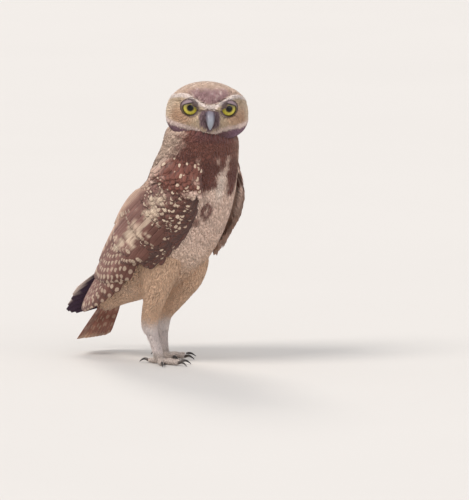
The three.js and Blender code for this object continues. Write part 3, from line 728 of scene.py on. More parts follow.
def body_tint(u, v):
    """Colours of the body by place. Distances on it are in millimetres, from the spine's length and the
    girth. The breast is buff, the neck and upper breast brown with two dark lobes and a pale wedge between
    them, the back brown, and two spots mark the breast's right side."""
    far = 0.5 - np.abs(v % 1 - 0.5)
    place = np.stack([u * SPINE_LENGTH, np.cos(v * TURN) * 30, np.sin(v * TURN) * 30], -1)
    mottle = ripple(place, 9, 3)
    broad = ripple(place, 38, 4)

    def oval(at_u, at_v, half_long, half_wide):
        near = np.hypot((u - at_u) * SPINE_LENGTH / half_long, (v - at_v) * GIRTH / half_wide)
        return falling(near + 0.15 * mottle, 0.75, 1.15)

    back = smoothstep(0.24 + 0.06 * falling(u, 0.15, 0.24) - far + 0.02 * mottle, 0, 0.08)
    shoulder = 0.245 - 0.05 * smoothstep(np.abs(v - 0.475), 0.0, 0.03)
    bib = falling(u + 0.01 * mottle, shoulder - 0.03, shoulder + 0.01)
    for lobe in ((0.22, 0.405, 18, 13), (0.225, 0.555, 19, 10), (0.235, 0.29, 28, 20), (0.235, 0.71, 28, 20)):
        bib = np.maximum(bib, oval(*lobe))
    wedge = smoothstep(u, 0.205, 0.26) * falling(np.abs(v - 0.482) * GIRTH, 3.0, 5.5)
    lobes = oval(0.235, 0.415, 11, 8) + oval(0.25, 0.55, 11, 5) + 0.7 * oval(0.2, 0.31, 10, 10)
    ring = np.hypot((u - 0.362) * SPINE_LENGTH, (v - 0.438) * GIRTH)
    tint = over(
        plain(BUFF, u),
        (WARM_BUFF, smoothstep(u, 0.42, 0.6) * 0.95),
        (WHITISH, 0.3 * smoothstep(broad, 0, 1)),
        (MANTLE, back),
        (NAPE, back * falling(u, 0.2, 0.4)),
        (BIB, bib * (1 - 0.9 * wedge) * (1 - 0.95 * back)),
        (DARK_BIB, np.clip(lobes, 0, 1) * (1 - wedge) * 0.85),
        (WHITISH, wedge * falling(u, 0.3, 0.36) * 0.7),
        (THROAT, falling(u, 0.07, 0.13) * smoothstep(far, 0.28, 0.36) * 0.8),
        (TAN, bell(v - 0.65, 0.08) * falling(u, 0.17, 0.24) * 0.5),
        (DARK_BIB, np.clip(bell(ring - 3.4, 1.9) * 1.2, 0, 0.95)),
        (BIB, oval(0.402, 0.408, 3.4, 3.4) * 0.8),
    )
    return dappled(tint, 0.10 * mottle + 0.05 * broad)


def head_tint(direction):
    """Colours of the head by direction, from its azimuth and elevation in degrees: a buff crown, a mauve
    forehead that runs down between the brows, white brows in a V, rufous cheeks with a paler rim, mauve
    lores, a whitish moustache and under it a dark throat band."""
    toward = unit(direction)
    azimuth, elevation = np.degrees(angles(toward))
    far = np.abs(azimuth)
    mottle = ripple(direction * 26, 5, 11)
    broad = ripple(direction * 26, 18, 12)
    brow_line = np.interp(far, *BROW_LINE)
    above = smoothstep(elevation - brow_line, 1.5, 4.5)
    behind = np.maximum(above, smoothstep(far, 95, 105))
    crown_line = 44 + 8 * np.cos(np.radians(azimuth * 1.5)) + 4 * mottle
    brow = smoothstep(bell(elevation - brow_line + 1.5, 4.6), 0.35, 0.75) * falling(far, 78, 96)
    lore_width = np.interp(elevation, [-30, -22, -12, 0, 9, 14], [3, 9, 17, 20, 17, 6])
    lores = falling(far, lore_width - 4, lore_width + 3) * smoothstep(elevation, -34, -26)
    moustache = np.interp(far, [0, 15, 32, 60, 80], [-33, -30, -22.5, -16.5, -11])
    band = smoothstep(bell(elevation - moustache, 5.2), 0.3, 0.8) * smoothstep(far, -8, 6)
    throat = np.interp(far, [0, 10, 28, 50, 70, 85, 95], [-39, -36.5, -26.5, -21, -16.5, -12, -8]) + mottle
    dark = falling(elevation, throat - 2.5, throat + 1) * falling(far, 84, 96)
    purple = bell(azimuth - 62, 24) * 0.8 + bell(azimuth + 58, 24) * 0.55
    tint = over(
        plain(FACE, far),
        (CHEEK, smoothstep(far, 20, 44) * bell(elevation + 3, 17)),
        (PALE_RIM, smoothstep(far, 62, 80)),
        (FOREHEAD, above),
        (CROWN, above * smoothstep(elevation, crown_line - 12, crown_line + 8)),
        (CROWN, above * smoothstep(far, 34, 60)),
        (NAPE, smoothstep(far, 92, 116)),
        (MANTLE, behind * smoothstep(-mottle, 0.2, 1.1) * 0.3),
        (WHITISH, behind * smoothstep(mottle, 0.6, 1.1) * 0.5),
        (BROW_WHITE, brow),
        (LORES, lores * falling(elevation, 8, 15) * 0.92),
        (MOUSTACHE, band * 0.95),
        (THROAT, dark),
        (PURPLE, dark * purple * bell(elevation + 28, 18)),
        (BIB, falling(elevation, -64, -50) * falling(far, 88, 105)),
        *((LID, falling(np.degrees(from_eye(toward, hand)), 14.5, 17) * 0.85) for hand in (-1, 1)),
    )
    return dappled(tint, 0.10 * mottle + 0.06 * broad)


def leg_tint(points):
    """Colours of a leg by height: warm buff down to the heel, whitish down over the tarsus, grey toes."""
    z = points[..., 2]
    mottle = ripple(points, 6, 21)
    tint = over(
        plain(WARM_BUFF, z),
        (TARSUS, falling(z + mottle * 1.5, 26, 38)),
        (TOE_SKIN, falling(z, 5, 10)),
    )
    return dappled(tint, 0.08 * mottle)


def wing_tint(length, across, hand):
    """Colours of a wing by place: brown, darker towards the belly edge, tan along the back edge, with
    ragged whitish patches over the middle coverts, made of noise within a band. On the left wing alone light
    and shade are painted: its front is made buff as painted light where it lies in shade, its tip is darkened
    to blue-black as painted shade, and a whitish painted highlight runs along the tip's sunlit edge."""
    place = np.stack([length, across], -1)
    mottle = ripple(place, 12, 31)
    broad = ripple(place, 30, 32)
    fine = ripple(place, 6.5, 33)
    middle = np.interp(length, [12, 24, 48, 70, 86, 104], [0, -3, -5, -5, 0, 4])
    wide = np.interp(length, [14, 30, 60, 84, 104], [5, 7, 9, 6, 4])
    patch = bell(across - middle + 2.5 * broad, wide) * smoothstep(length, 14, 28) * falling(length, 84, 108)
    patch = smoothstep(patch + 0.3 * mottle + 0.2 * fine, 0.5, 0.85)
    blotch = bell(np.hypot((length - 52) / 1.4, across + 1), 4)
    blotch = np.clip(blotch + bell(np.hypot((length - 30) / 1.2, across + 11), 5), 0, 1)
    layers = [
        (WING_DARK, smoothstep(-across - 0.05 * length + 1.5 * mottle, 2, 11) * 0.7),
        (TAN, smoothstep(across + 2 * mottle, 9, 20) * 0.62),
        (CREAM, patch * (1 - 0.8 * blotch) * 0.72),
    ]
    # Painted light and shade on the left wing alone: its front is lightened to buff where it lies in shade,
    # its tip is darkened to blue-black as painted shade, and a whitish painted highlight is laid along the
    # tip's sunlit edge
    if hand > 0:
        edge = smoothstep(across + 0.3 * (length - 150), 12.6, 14.4)
        front = smoothstep(-across - 0.05 * length + mottle, 3, 12) * falling(length, 76, 104)
        layers += [
            (BUFF, front * 0.8),
            (PAINTED_SHADE_BLUE_BLACK, smoothstep(length, 112, 126) * 0.92),
            (WHITISH, smoothstep(length, 122, 136) * edge * 0.7),
        ]
    return dappled(over(plain(WING, length), *layers), 0.12 * mottle)


# Materials


class Value:
    """A number of a material. Each operator adds the Math node that works it out."""

    def __init__(self, paint, socket):
        self.paint, self.socket = paint, socket

    def math(self, operation, *others):
        """The Math node of an operation on this number and others."""
        return self.paint.number("ShaderNodeMath", {"operation": operation}, [self, *others])

    def __add__(self, other):
        return self.math("ADD", other)

    def __mul__(self, other):
        return self.math("MULTIPLY", other)

    def __sub__(self, other):
        return self.math("SUBTRACT", other)

    def __rsub__(self, other):
        return (self * -1) + other

    def __truediv__(self, other):
        return self.math("DIVIDE", other)

    def __pow__(self, other):
        return self.math("POWER", other)

    def __abs__(self):
        return self.math("ABSOLUTE")

    __radd__ = __add__
    __rmul__ = __mul__

    def between(self, low, high):
        """0 below low and 1 above high, smooth between them."""
        return self.paint.number(
            "ShaderNodeMapRange", {"interpolation_type": "SMOOTHSTEP"}, {"Value": self, 1: low, 2: high}
        )

    def wave(self):
        """The sine of the number."""
        return self.math("SINE")

    def fraction(self):
        """The number less its whole part."""
        return self.math("FRACT")


class Paint:
    """A material in the making, with its Principled shader."""

    def __init__(self, name, roughness, **constants):
        self.material = bpy.data.materials.new(name)
        self.material.use_nodes = True
        self.tree = self.material.node_tree
        self.tree.nodes.clear()
        self.shader = self.node("ShaderNodeBsdfPrincipled", {}, {"Roughness": roughness, **constants})
        self.node("ShaderNodeOutputMaterial", {}, {"Surface": self.shader.outputs["BSDF"]})

    def node(self, kind, settings, inputs):
        """A node of a kind, with its settings made first and then its sockets given values or links."""
        node = self.tree.nodes.new(kind)
        for name, setting in settings.items():
            setattr(node, name, setting)
        for key, value in inputs.items() if isinstance(inputs, dict) else enumerate(inputs):
            if isinstance(value, Value):
                value = value.socket
            if isinstance(value, bpy.types.NodeSocket):
                self.tree.links.new(value, node.inputs[key])
            else:
                node.inputs[key].default_value = value
        return node

    def number(self, kind, settings, inputs, output=0):
        """The number that comes out of a node."""
        return Value(self, self.node(kind, settings, inputs).outputs[output])

    def attribute(self, name, output="Fac"):
        """A number of the piece's own, by name."""
        return self.number("ShaderNodeAttribute", {"attribute_name": name}, {}, output)

    def tint(self):
        """The piece's own colour."""
        return self.attribute("tint", "Color").socket

    def map(self, name):
        """The two numbers of a map."""
        place = self.node("ShaderNodeUVMap", {"uv_map": name}, {}).outputs[0]
        parts = self.node("ShaderNodeSeparateXYZ", {}, [place])
        return Value(self, parts.outputs[0]), Value(self, parts.outputs[1])

    def place(self):
        """The place on the object."""
        return self.node("ShaderNodeTexCoord", {}, {}).outputs["Object"]

    def noise(self, scale, detail, stretch=(1, 1, 1)):
        """Smooth noise over the object, finer by the scale and along each axis by the stretch."""
        place = self.node("ShaderNodeMapping", {}, {"Vector": self.place(), "Scale": stretch}).outputs[0]
        return self.number("ShaderNodeTexNoise", {}, {"Vector": place, "Scale": scale, "Detail": detail})

    def mix(self, mask, under, top, blending="MIX"):
        """One colour over another by a mask."""
        values = {0: mask, 6: self.colour(under), 7: self.colour(top)}
        settings = {"data_type": "RGBA", "blend_type": blending, "clamp_factor": True}
        return self.node("ShaderNodeMix", settings, values).outputs[2]

    def colour(self, value):
        """A colour as a socket takes it: a link, or its three parts and full cover."""
        return value if isinstance(value, (bpy.types.NodeSocket, Value)) else (*value, 1.0)

    def grey(self, value):
        """A number as a colour with three like parts."""
        return self.node("ShaderNodeCombineColor", {}, [value, value, value]).outputs[0]

    def shade(self, colour, factor):
        """A colour times a number."""
        return self.mix(1.0, colour, self.grey(factor), "MULTIPLY")

    def finish(self, colour, roughness=None, bump=None, strength=0.0, depth=0.0):
        """The material with its colour and, where both are given, its roughness and its bump."""
        links = {"Base Color": colour}
        if roughness is not None:
            inputs = {"Height": bump, "Strength": strength, "Distance": depth}
            links["Roughness"] = roughness.socket
            links["Normal"] = self.node("ShaderNodeBump", {}, inputs).outputs[0]
        for name, source in links.items():
            self.tree.links.new(source, self.shader.inputs[name])
        return self.material


def plumage(name, sheen, grain, spot_rows=0.0, spot_long=1.6, spot_wide=0.5, spot_at=0.0, first=2.6):
    """Feather material: the tint, darker along the shaft, with fine barbs that slant from it, and where the
    attribute spots asks for them pale ovals: one on the shaft by the tip, or rows of pairs on both webs."""
    paint = Paint(name, 0.8, **{"Sheen Weight": sheen, "Sheen Roughness": 0.4, "Specular IOR Level": 0.15})
    across, from_tip = paint.map("vane")
    place = from_tip - first
    if spot_rows:
        place = (((place / spot_rows) + 0.5).fraction() - 0.5) * spot_rows
    oval = ((place / spot_long) ** 2) + (((abs(across) - spot_at) / spot_wide) ** 2)
    jitter = paint.noise(420, 2)
    spot = (1 - (oval + (jitter - 0.5) * 1.2).between(0.7, 1.25)) * paint.attribute("spots")
    colour = paint.mix(spot, paint.tint(), CREAM)
    barbs = ((abs(across) * 9) + (from_tip * 4.2)).wave()
    streak = paint.noise(900, 2)
    colour = paint.shade(colour, 1 - grain / 2 + barbs * 0.03 + streak * grain)
    shaft = 1 - abs(across).between(0.03, 0.1)
    colour = paint.mix(shaft * 0.35, colour, SHAFT)
    rough = 0.68 + streak * 0.2
    return paint.finish(colour, rough, barbs * 0.5 + streak, 0.35, 0.0003)


def scaly_skin():
    """Skin: the tint, with small round scales on the legs, each a raised cell with a darker edge."""
    paint = Paint("bare_skin", 0.6, **{"Specular IOR Level": 0.35})
    sockets = {"Vector": paint.place(), "Scale": 620.0}
    cells = paint.number("ShaderNodeTexVoronoi", {"feature": "DISTANCE_TO_EDGE"}, sockets)
    edge = cells.between(0.02, 0.16)
    grain = paint.noise(1500, 3)
    scales = paint.attribute("scales")
    colour = paint.shade(paint.tint(), 0.86 + grain * 0.28)
    colour = paint.mix((1 - edge) * scales * 0.55, colour, linear(112, 98, 92))
    return paint.finish(colour, 0.5 + grain * 0.2, edge * scales * 0.7 + grain * 0.3, 0.5, 0.0004)


def eye_material():
    """Eye: a black pupil, an iris that runs from grey-olive above to olive-yellow below with fine radial
    fibres and a dark rim, under a wet clear coat. The grey-olive above is painted shade of the brow over
    the iris. The map iris holds the distance from the axis in millimetres and the turn round it."""
    paint = Paint("wet_eye", 0.3, **{"Coat Weight": 1.0, "Coat Roughness": 0.02, "Coat IOR": 1.35,
                                     "Specular IOR Level": 0.05})
    away, turn = paint.map("iris")
    place = paint.node("ShaderNodeCombineXYZ", {}, [turn * 60, away * 0.6, 0.0]).outputs[0]
    sockets = {"Vector": place, "Scale": 1.0, "Detail": 4.0}
    spokes = paint.number("ShaderNodeTexNoise", {"noise_dimensions": "2D"}, sockets)
    upper = paint.attribute("upper")
    # Painted shade: the iris is greyed towards its top, as if the brow shaded it
    iris = paint.mix(upper.between(-0.35, 0.55), linear(196, 182, 70), linear(122, 112, 84))
    iris = paint.shade(iris, 0.55 + spokes * 0.8)
    iris = paint.mix(1 - away.between(2.6, 3.4), iris, linear(110, 96, 50))
    iris = paint.mix(away.between(4.9, 5.9), iris, linear(58, 50, 34))
    colour = paint.mix(1 - away.between(2.15, 2.4), iris, linear(10, 9, 10))
    return paint.finish(colour)


def bill_material():
    """Bill: the tint, with fine growth lines along it, which also make its gloss uneven."""
    paint = Paint("bill_horn", 0.4, **{"Specular IOR Level": 0.5})
    grain = paint.noise(900, 3, (1, 1, 0.25))
    colour = paint.shade(paint.tint(), 0.84 + grain * 0.32)
    return paint.finish(colour, 0.3 + grain * 0.25, grain, 0.2, 0.0002)


def claw_material():
    """Claw: dark horn, paler at the root, with faint lengthwise streaks."""
    paint = Paint("claw_horn", 0.35, **{"Specular IOR Level": 0.5})
    grain = paint.noise(1200, 2, (0.3, 1, 1))
    root = paint.attribute("root")
    colour = paint.mix(root, linear(38, 33, 32), linear(92, 82, 76))
    return paint.finish(paint.shade(colour, 0.8 + grain * 0.4), 0.28 + grain * 0.2, grain, 0.15, 0.0002)


SOFT_PLUMAGE = plumage("soft_plumage", 0.12, 0.1)
SPOTTED_PLUMAGE = plumage("spotted_plumage", 0.08, 0.2)
BARRED_PLUMAGE = plumage(
    "barred_plumage", 0.06, 0.22, spot_rows=8.5, spot_long=2.3, spot_wide=0.3, spot_at=0.52, first=3.2)
SKIN = scaly_skin()
EYE = eye_material()
BILL = bill_material()
CLAW_HORN = claw_material()

# Skin

FACE_DEPTH = 1.6
HEAD_DEPTH = 2.1
BODY_DEPTH = 3.0
THIGH_DEPTH = 2.2
SHIN_DEPTH = 0.5
# Steps along and round each tube of the skin, and the side of its voxels in metres
SKIN_GRIDS = dict(body=(80, 96), head=(80, 120), leg=(90, 40), toe=(40, 24))
SKIN_VOXEL = 0.0009


def face_share(direction):
    """1 on the face and 0 behind it, by the direction's forward part."""
    return smoothstep(unit(direction)[..., 0], 0.1, 0.5)


def head_depth(direction):
    """Depth of the head's skin: 2.1 mm, and 1.6 on the face."""
    return blend(HEAD_DEPTH, FACE_DEPTH, face_share(direction))


def thigh_depth(u):
    """Depth of a leg's feathers at u down it: full on the thigh, thin at the heel, none below it."""
    return THIGH_DEPTH * falling(u, 0.4, 0.62) + SHIN_DEPTH * falling(u, 0.62, 0.95)


def head_ball(u, v):
    """The head's skin: u runs from chin to crown and v round it, both as even angles."""
    direction = direction_at(v * TURN, np.radians(89.5 * (2 * u - 1)))
    return head_sheet(direction, -head_depth(direction))


def toe_parts(side):
    """Toes of a foot: each swells at its pads as 1 + 0.14 cos of two turns, and lies flat on the ground."""
    hand, rows = LEGS[side]
    foot = np.array([rows[-1][0], rows[-1][1], 0.0])
    for angle, length, claw in TOES.values():
        turn = np.radians(angle) * hand
        ahead = np.array([np.cos(turn), np.sin(turn), 0])
        aside = np.array([-np.sin(turn), np.cos(turn), 0])

        def toe(u, v):
            pads = 1 + TOE["swelling"] * np.cos(u * TOE["pads"] * TURN)
            radius = blend(TOE["radius"], TOE["end"], u) * pads
            radius = radius * np.sqrt(1 - np.clip((u - 0.9) / 0.1, 0, 0.95) ** 2)
            point = foot + ahead * (length * u)[..., None] + aside * (np.cos(v * TURN) * radius)[..., None]
            point[..., 2] = np.maximum(TOE["height"] + np.sin(v * TURN) * radius, 0)
            return point

        yield toe, foot + ahead * length, ahead, aside, claw


def nearest_on_body(points):
    """The place (u, v) of points on the body: the nearest of 240 stations of the spine, and the turn about
    it from the back over the right side."""
    u = np.linspace(0, 1, 240)
    x, z = np.moveaxis(along(BODY, u)[..., :2], -1, 0)
    run = heading(BODY, u, [0, 1])
    nearest = np.argmin((points[:, :1] - x) ** 2 + (points[:, 2:] - z) ** 2, axis=1)
    apart = np.stack([points[:, 0] - x[nearest], points[:, 2] - z[nearest]], -1)
    backward = apart[:, 0] * run[nearest, 1] - apart[:, 1] * run[nearest, 0]
    return u[nearest], (np.arctan2(-points[:, 1], backward) / TURN) % 1


def make_skin():
    """One skin: body, head, legs and toes as closed tubes, made one by a voxel remesh and smoothed. Each
    point takes the body's, a leg's or the head's colour, whichever part it lies on."""
    parts = [
        closed_tube(lambda u, v: body_sheet(np.stack([u, v], -1), -BODY_DEPTH), *SKIN_GRIDS["body"]),
        closed_tube(head_ball, *SKIN_GRIDS["head"]),
    ]
    for side in LEGS:
        sheet = leg_sheet(side)
        leg = closed_tube(lambda u, v: sheet(np.stack([u, v], -1), -thigh_depth(u)), *SKIN_GRIDS["leg"])
        parts += [leg, *(closed_tube(toe, *SKIN_GRIDS["toe"]) for toe, *_ in toe_parts(side))]
    piece = make_mesh("skin", *merged(parts), SKIN)
    remesh = piece.modifiers.new("one_skin", "REMESH")
    remesh.mode = "VOXEL"
    remesh.voxel_size = SKIN_VOXEL
    remesh.use_smooth_shade = True
    smooth = piece.modifiers.new("smooth", "SMOOTH")
    smooth.factor = 0.5
    smooth.iterations = 2
    graph = bpy.context.evaluated_depsgraph_get()
    mesh = bpy.data.meshes.new_from_object(piece.evaluated_get(graph))
    piece.modifiers.clear()
    piece.data = mesh
    if not mesh.materials:
        mesh.materials.append(SKIN)
    points = np.zeros(len(mesh.vertices) * 3)
    mesh.vertices.foreach_get("co", points)
    points = points.reshape(-1, 3) * 1000 - SHIFT
    above_floor = np.maximum(points, [-np.inf, -np.inf, 0])
    mesh.vertices.foreach_set("co", placed(above_floor).ravel())
    tint = over(
        body_tint(*nearest_on_body(points)),
        (leg_tint(points), falling(points[:, 2], 44, 56)),
        (head_tint(to_head(points)), falling(off_head(points), -0.6, 0.4)),
    )
    set_skin(piece, tint, falling(points[:, 2], 22, 32))
    belongs(piece, "body_feathers", "head", "neck", "torso", "right_thigh", "left_thigh",
            "right_tarsus", "left_tarsus", "right_foot", "left_foot")


make_skin()

# Coat of the body

SHEET_STEPS = (0.002, 0.002)
# Spread of the feathers' lie about their way, in radians, and of their curl as a share of their length
SWAY = dict(body=0.16, head=0.14, fringe=0.16, thigh=0.15, tarsus=0.2, covert=0.12)
CURL = dict(body=0.06, head=0.06, fringe=0.05, thigh=0.06, covert=0.05)

# Coats of the body: low and high places, count, length, width, vane, contrast, share of spotted feathers,
# height at the tips, and how much higher the tips stand over a shoulder
BODY_COATS = {
    "neck_coat": ((0.02, 0), (0.24, 1), 6500, 10, 3.4, SOFT_VANE, 0.05, 0, 0.5, 0),
    "breast_coat": ((0.22, 0.26), (0.52, 0.74), 4200, 13, 4.6, SOFT_VANE, 0.03, 0, 0.5, 0),
    "belly_coat": ((0.5, 0.2), (0.95, 0.8), 4800, 13, 4.0, SOFT_VANE, 0.03, 0, 0.5, 0),
    "mantle_coat": ((0.2, -0.27), (0.58, 0.27), 3600, 13, 6.2, BODY_VANE, 0.05, 0.33, 0.5, 0),
    "rump_coat": ((0.55, -0.22), (0.95, 0.22), 2800, 12, 4.5, BODY_VANE, 0.05, 0.1, 0.5, 0),
    "right_shoulder_coat": ((0.15, 0.2), (0.265, 0.37), 900, 12.5, 4.8, BODY_VANE, 0.05, 0.16, 0.8, 6),
    "left_shoulder_coat": ((0.15, 0.63), (0.265, 0.8), 900, 12.5, 4.8, BODY_VANE, 0.05, 0.16, 0.8, 5),
}
NECK_IN_HEAD = 3


def body_coat(name, low, high, count, length, width, vane, contrast, spotted, lift, swell):
    """Feathers of one region of the body, laid down the spine with a little sway. Those of the neck start
    no deeper than 3 mm inside the head."""
    on_neck = name == "neck_coat"
    place = scattered(body_sheet, low, high, SHEET_STEPS, count)
    if on_neck:
        place = place[off_head(body_sheet(place, 0)) > -NECK_IN_HEAD]
    n = len(place)
    u, v = place[:, 0], place[:, 1]
    moved = moves(body_sheet, place, SHEET_STEPS, random.normal(0, SWAY["body"], n))
    lengths = length * random.uniform(0.8, 1.2, n)
    tips = (lift + swell * smoothstep(u, 0.16, 0.255)) * random.uniform(0.7, 1.1, n)
    feathers(
        name, "neck_feathers" if on_neck else "body_feathers", body_sheet, place, moved, lengths,
        width * random.uniform(0.85, 1.15, n), -BODY_DEPTH, tips, vane, 0.35,
        lambda p: body_tint(p[..., 0], p[..., 1]), patch_at(v % 1, u),
        SPOTTED_PLUMAGE if spotted else SOFT_PLUMAGE, curl=random.normal(0, CURL["body"], n), camber=0.25,
        spots=(random.random(n) < spotted) * random.uniform(0.6, 1, n) if spotted else 0, jitter=0.6,
        contrast=contrast,
    )


for coat_name, coat_row in BODY_COATS.items():
    body_coat(coat_name, *coat_row)

# Coat of the head

BILL_WAY = unit(np.array([1, 0, -0.12]))
# The bare opening round an eye, and the bill's bare root: half its width and height and its drop, in radians
OPENING = dict(reach=0.27, flatness=0.92)
BILL_ROOT = dict(wide=0.16, high=0.28, drop=0.06)


def head_places(count, chosen, seed):
    """Directions spread evenly over the head by steps of the golden angle, each moved a little, and kept
    where chosen says so with a seeded draw."""
    draw = np.random.default_rng(seed)
    i = np.arange(count) + 0.5
    z = 1 - 2 * i / count
    direction = direction_at(i * np.pi * (3 - np.sqrt(5)), np.arcsin(z))
    direction = unit(direction + draw.normal(0, 0.6 / np.sqrt(count), (count, 3)))
    return direction[draw.random(count) < chosen(direction)]


def head_lie(direction):
    """The lie of the head's feathers: away from the bill, down over the nape, and close to an eye away from
    that eye."""
    lie = (direction - BILL_WAY) * 0.6 + np.array([-0.25, 0, -0.1])
    nape = smoothstep(-direction[:, 0], -0.35, 0.5)[:, None]
    lie = lie * (1 - nape) + np.array([-0.25, 0, -1]) * nape
    for hand in (-1, 1):
        near = bell(from_eye(direction, hand), 0.5)[:, None]
        lie = lie * (1 - 0.93 * near) + unit(direction - eye_way(hand)) * near
    return lie


def clear_of_eyes(direction):
    """0 in the lids' opening and on the bill's root, 1 elsewhere."""
    keep = np.ones(len(direction))
    for hand in (-1, 1):
        x, y, z = (direction - eye_way(hand)).T
        keep = keep * (np.hypot(np.hypot(x, y), z / OPENING["flatness"]) > OPENING["reach"])
    azimuth, elevation = angles(direction)
    from_root = np.hypot(azimuth / BILL_ROOT["wide"], (elevation + BILL_ROOT["drop"]) / BILL_ROOT["high"])
    return keep * (from_root > 1)


def head_coat(name, direction, lie, sway, length, width, low, high, curl, jitter):
    """Feathers of the head along a lie, which is drawn into its surface and turned by a sway."""
    lie = unit(lie - direction * dot(lie, direction))
    lie, side = swayed(lie, np.cross(lie, direction), sway)
    reach = head_reach(direction)[:, None]
    azimuth, elevation = angles(direction)
    feathers(
        name, "head_feathers", head_sheet, direction, (lie / reach, side / reach), length, width, low, high,
        SOFT_VANE, 0.25, head_tint, patch_at(0.5 + azimuth / TURN, 0.5 + elevation / np.pi), SOFT_PLUMAGE,
        curl=curl, camber=0.15, jitter=jitter,
    )


def close_coat(name, count, chosen, length, width, seed):
    """Close feathers of one region of the head."""
    direction = head_places(count, lambda d: chosen(d) * clear_of_eyes(d), seed)
    n = len(direction)
    head_coat(
        name, direction, head_lie(direction), random.normal(0, SWAY["head"], n),
        length * random.uniform(0.8, 1.2, n), width * random.uniform(0.85, 1.15, n), -head_depth(direction),
        0.4 * random.uniform(0.2, 1.3, n) - 0.6 * direction[:, 1] ** 2,
        random.normal(0, CURL["head"], n), 0.5,
    )


def fringe(name, count, line, spread, length, width, outward, lift, seed, lean):
    """A fringe of feathers along a line of azimuths and elevations on both sides of the head, that lie
    outwards from the bill and towards a lean, and stand off the face at their tips."""
    draw = np.random.default_rng(seed)
    far = np.radians(draw.uniform(line[0][0], line[0][-1], count))
    elevation = np.radians(np.interp(np.degrees(far), *line) + draw.normal(0, spread, count))
    hand = np.where(np.arange(count) % 2, 1, -1)
    lie = np.array([-0.3, 0, lean]) + hand[:, None] * np.array([0, outward, 0])
    head_coat(
        name, direction_at(far * hand, elevation), lie, draw.normal(0, SWAY["fringe"], count),
        length * draw.uniform(0.75, 1.2, count), width, -1.0,
        lift * draw.uniform(0.5, 1.2, count) * (1 - 0.8 * smoothstep(far, 0.6, 1.1)),
        draw.normal(0, CURL["fringe"], count), 0.3,
    )


# Lines of azimuths and elevations, in degrees
BROW_ROOTS = ([6, 18, 30, 44, 60, 76], [15, 19.5, 25.5, 29, 29, 24])
RUFF_ROOTS = ([52, 70, 88, 106], [-19, -17, -14, -8])
close_coat("face_coat", 22000, face_share, 5.0, 1.35, 51)
close_coat("crown_coat", 11500, lambda d: 1 - face_share(d), 7.2, 2.5, 52)
fringe("brow_coat", 1500, BROW_ROOTS, 2.4, 5.2, 1.5, 1.0, 2.0, 81, 0.12)
fringe("ruff_coat", 1100, RUFF_ROOTS, 6.5, 6.5, 2.2, 0.4, 0.5, 82, -0.9)


def bristles():
    """Stiff mauve bristles that spring from the lores beside the bill and curve forward and down past it:
    root + way s length + sag s squared length."""
    seed, n = 61, 170
    draw = np.random.default_rng(seed)
    hand = np.where(draw.random(n) < 0.5, -1, 1)
    elevation = np.radians(draw.uniform(-16, 12, n))
    azimuth = np.radians(draw.uniform(7, 17, n)) * hand
    direction = direction_at(azimuth, elevation)
    root = direction * (head_reach(direction) - 0.8)[:, None]
    way = [draw.uniform(0.5, 0.9, n), hand * draw.uniform(0.0, 0.35, n), draw.uniform(-0.9, -0.4, n)]
    way = unit(np.stack(way, -1))
    length = draw.uniform(4.5, 8, n)[:, None]
    s, w, t = (number[None, :, None] for number in (BRISTLE_VANE.s, BRISTLE_VANE.w, BRISTLE_VANE.t))
    side = unit(np.cross(way, direction))
    up = np.cross(side, way)
    sag = np.array([-0.15, 0, -0.55]) * 0.35
    line = root[:, None] + (way[:, None] * s + sag * (s * s)) * length[:, None]
    points = in_head(line + side[:, None] * w * 0.12 + up[:, None] * t * 0.1).reshape(-1, 3)
    piece = make_mesh("bristles", points, [BRISTLE_VANE.copies(n)], SOFT_PLUMAGE)
    tint = np.clip(linear(134, 112, 116) * draw.uniform(0.5, 1.6, n)[:, None], 0, 1)
    set_tint(piece, np.repeat(tint, len(BRISTLE_VANE.s), 0))
    patch = np.stack([0.5 + azimuth, 0.5 + elevation], -1)
    set_map(piece, "OFBake", BRISTLE_VANE.patches(patch, SMALL_PATCH))
    set_map(piece, "vane", np.full((len(points), 2), 0.5))
    set_number(piece, "spots", np.zeros(len(points)))
    belongs(piece, "head_feathers")


bristles()

# Legs


def leg_coats(side):
    """Soft feathers of the thigh, which grow shorter towards the heel, and bristly ones down the front of the
    tarsus."""
    sheet = leg_sheet(side)
    place = scattered(
        sheet, (0.0, 0), (0.62, 1), SHEET_STEPS, 4400, lambda u, v: 0.35 + smoothstep(u, 0.2, 0.5))
    n = len(place)
    moved = moves(sheet, place, SHEET_STEPS, random.normal(0, SWAY["thigh"], n))
    size = 9.5 - 5.5 * smoothstep(place[:, 0], 0.25, 0.6)
    feathers(
        side + "_leg_coat", "leg_feathers", sheet, place, moved, size * random.uniform(0.8, 1.2, n),
        0.9 + size * 0.17, -thigh_depth(place[:, 0]), 0.4 * random.uniform(0.2, 1.2, n), SOFT_VANE, 0.25,
        lambda p: leg_tint(sheet(p, 0)), patch_at(place[:, 1], place[:, 0]), SOFT_PLUMAGE,
        curl=random.normal(0, CURL["thigh"], n), camber=0.15,
    )
    place = scattered(sheet, (0.55, -0.3), (0.97, 0.3), SHEET_STEPS, 900)
    n = len(place)
    moved = moves(sheet, place, SHEET_STEPS, random.normal(0, SWAY["tarsus"], n))
    feathers(
        side + "_tarsus_coat", "leg_feathers", sheet, place, moved, random.uniform(2.2, 4, n), 0.5, -0.4,
        random.uniform(0.1, 0.6, n), SOFT_VANE, 0.2, lambda p: leg_tint(sheet(p, 0)) * 1.05,
        patch_at(0.5 + 0.9375 * place[:, 1], place[:, 0]), SOFT_PLUMAGE, camber=0.1,
    )


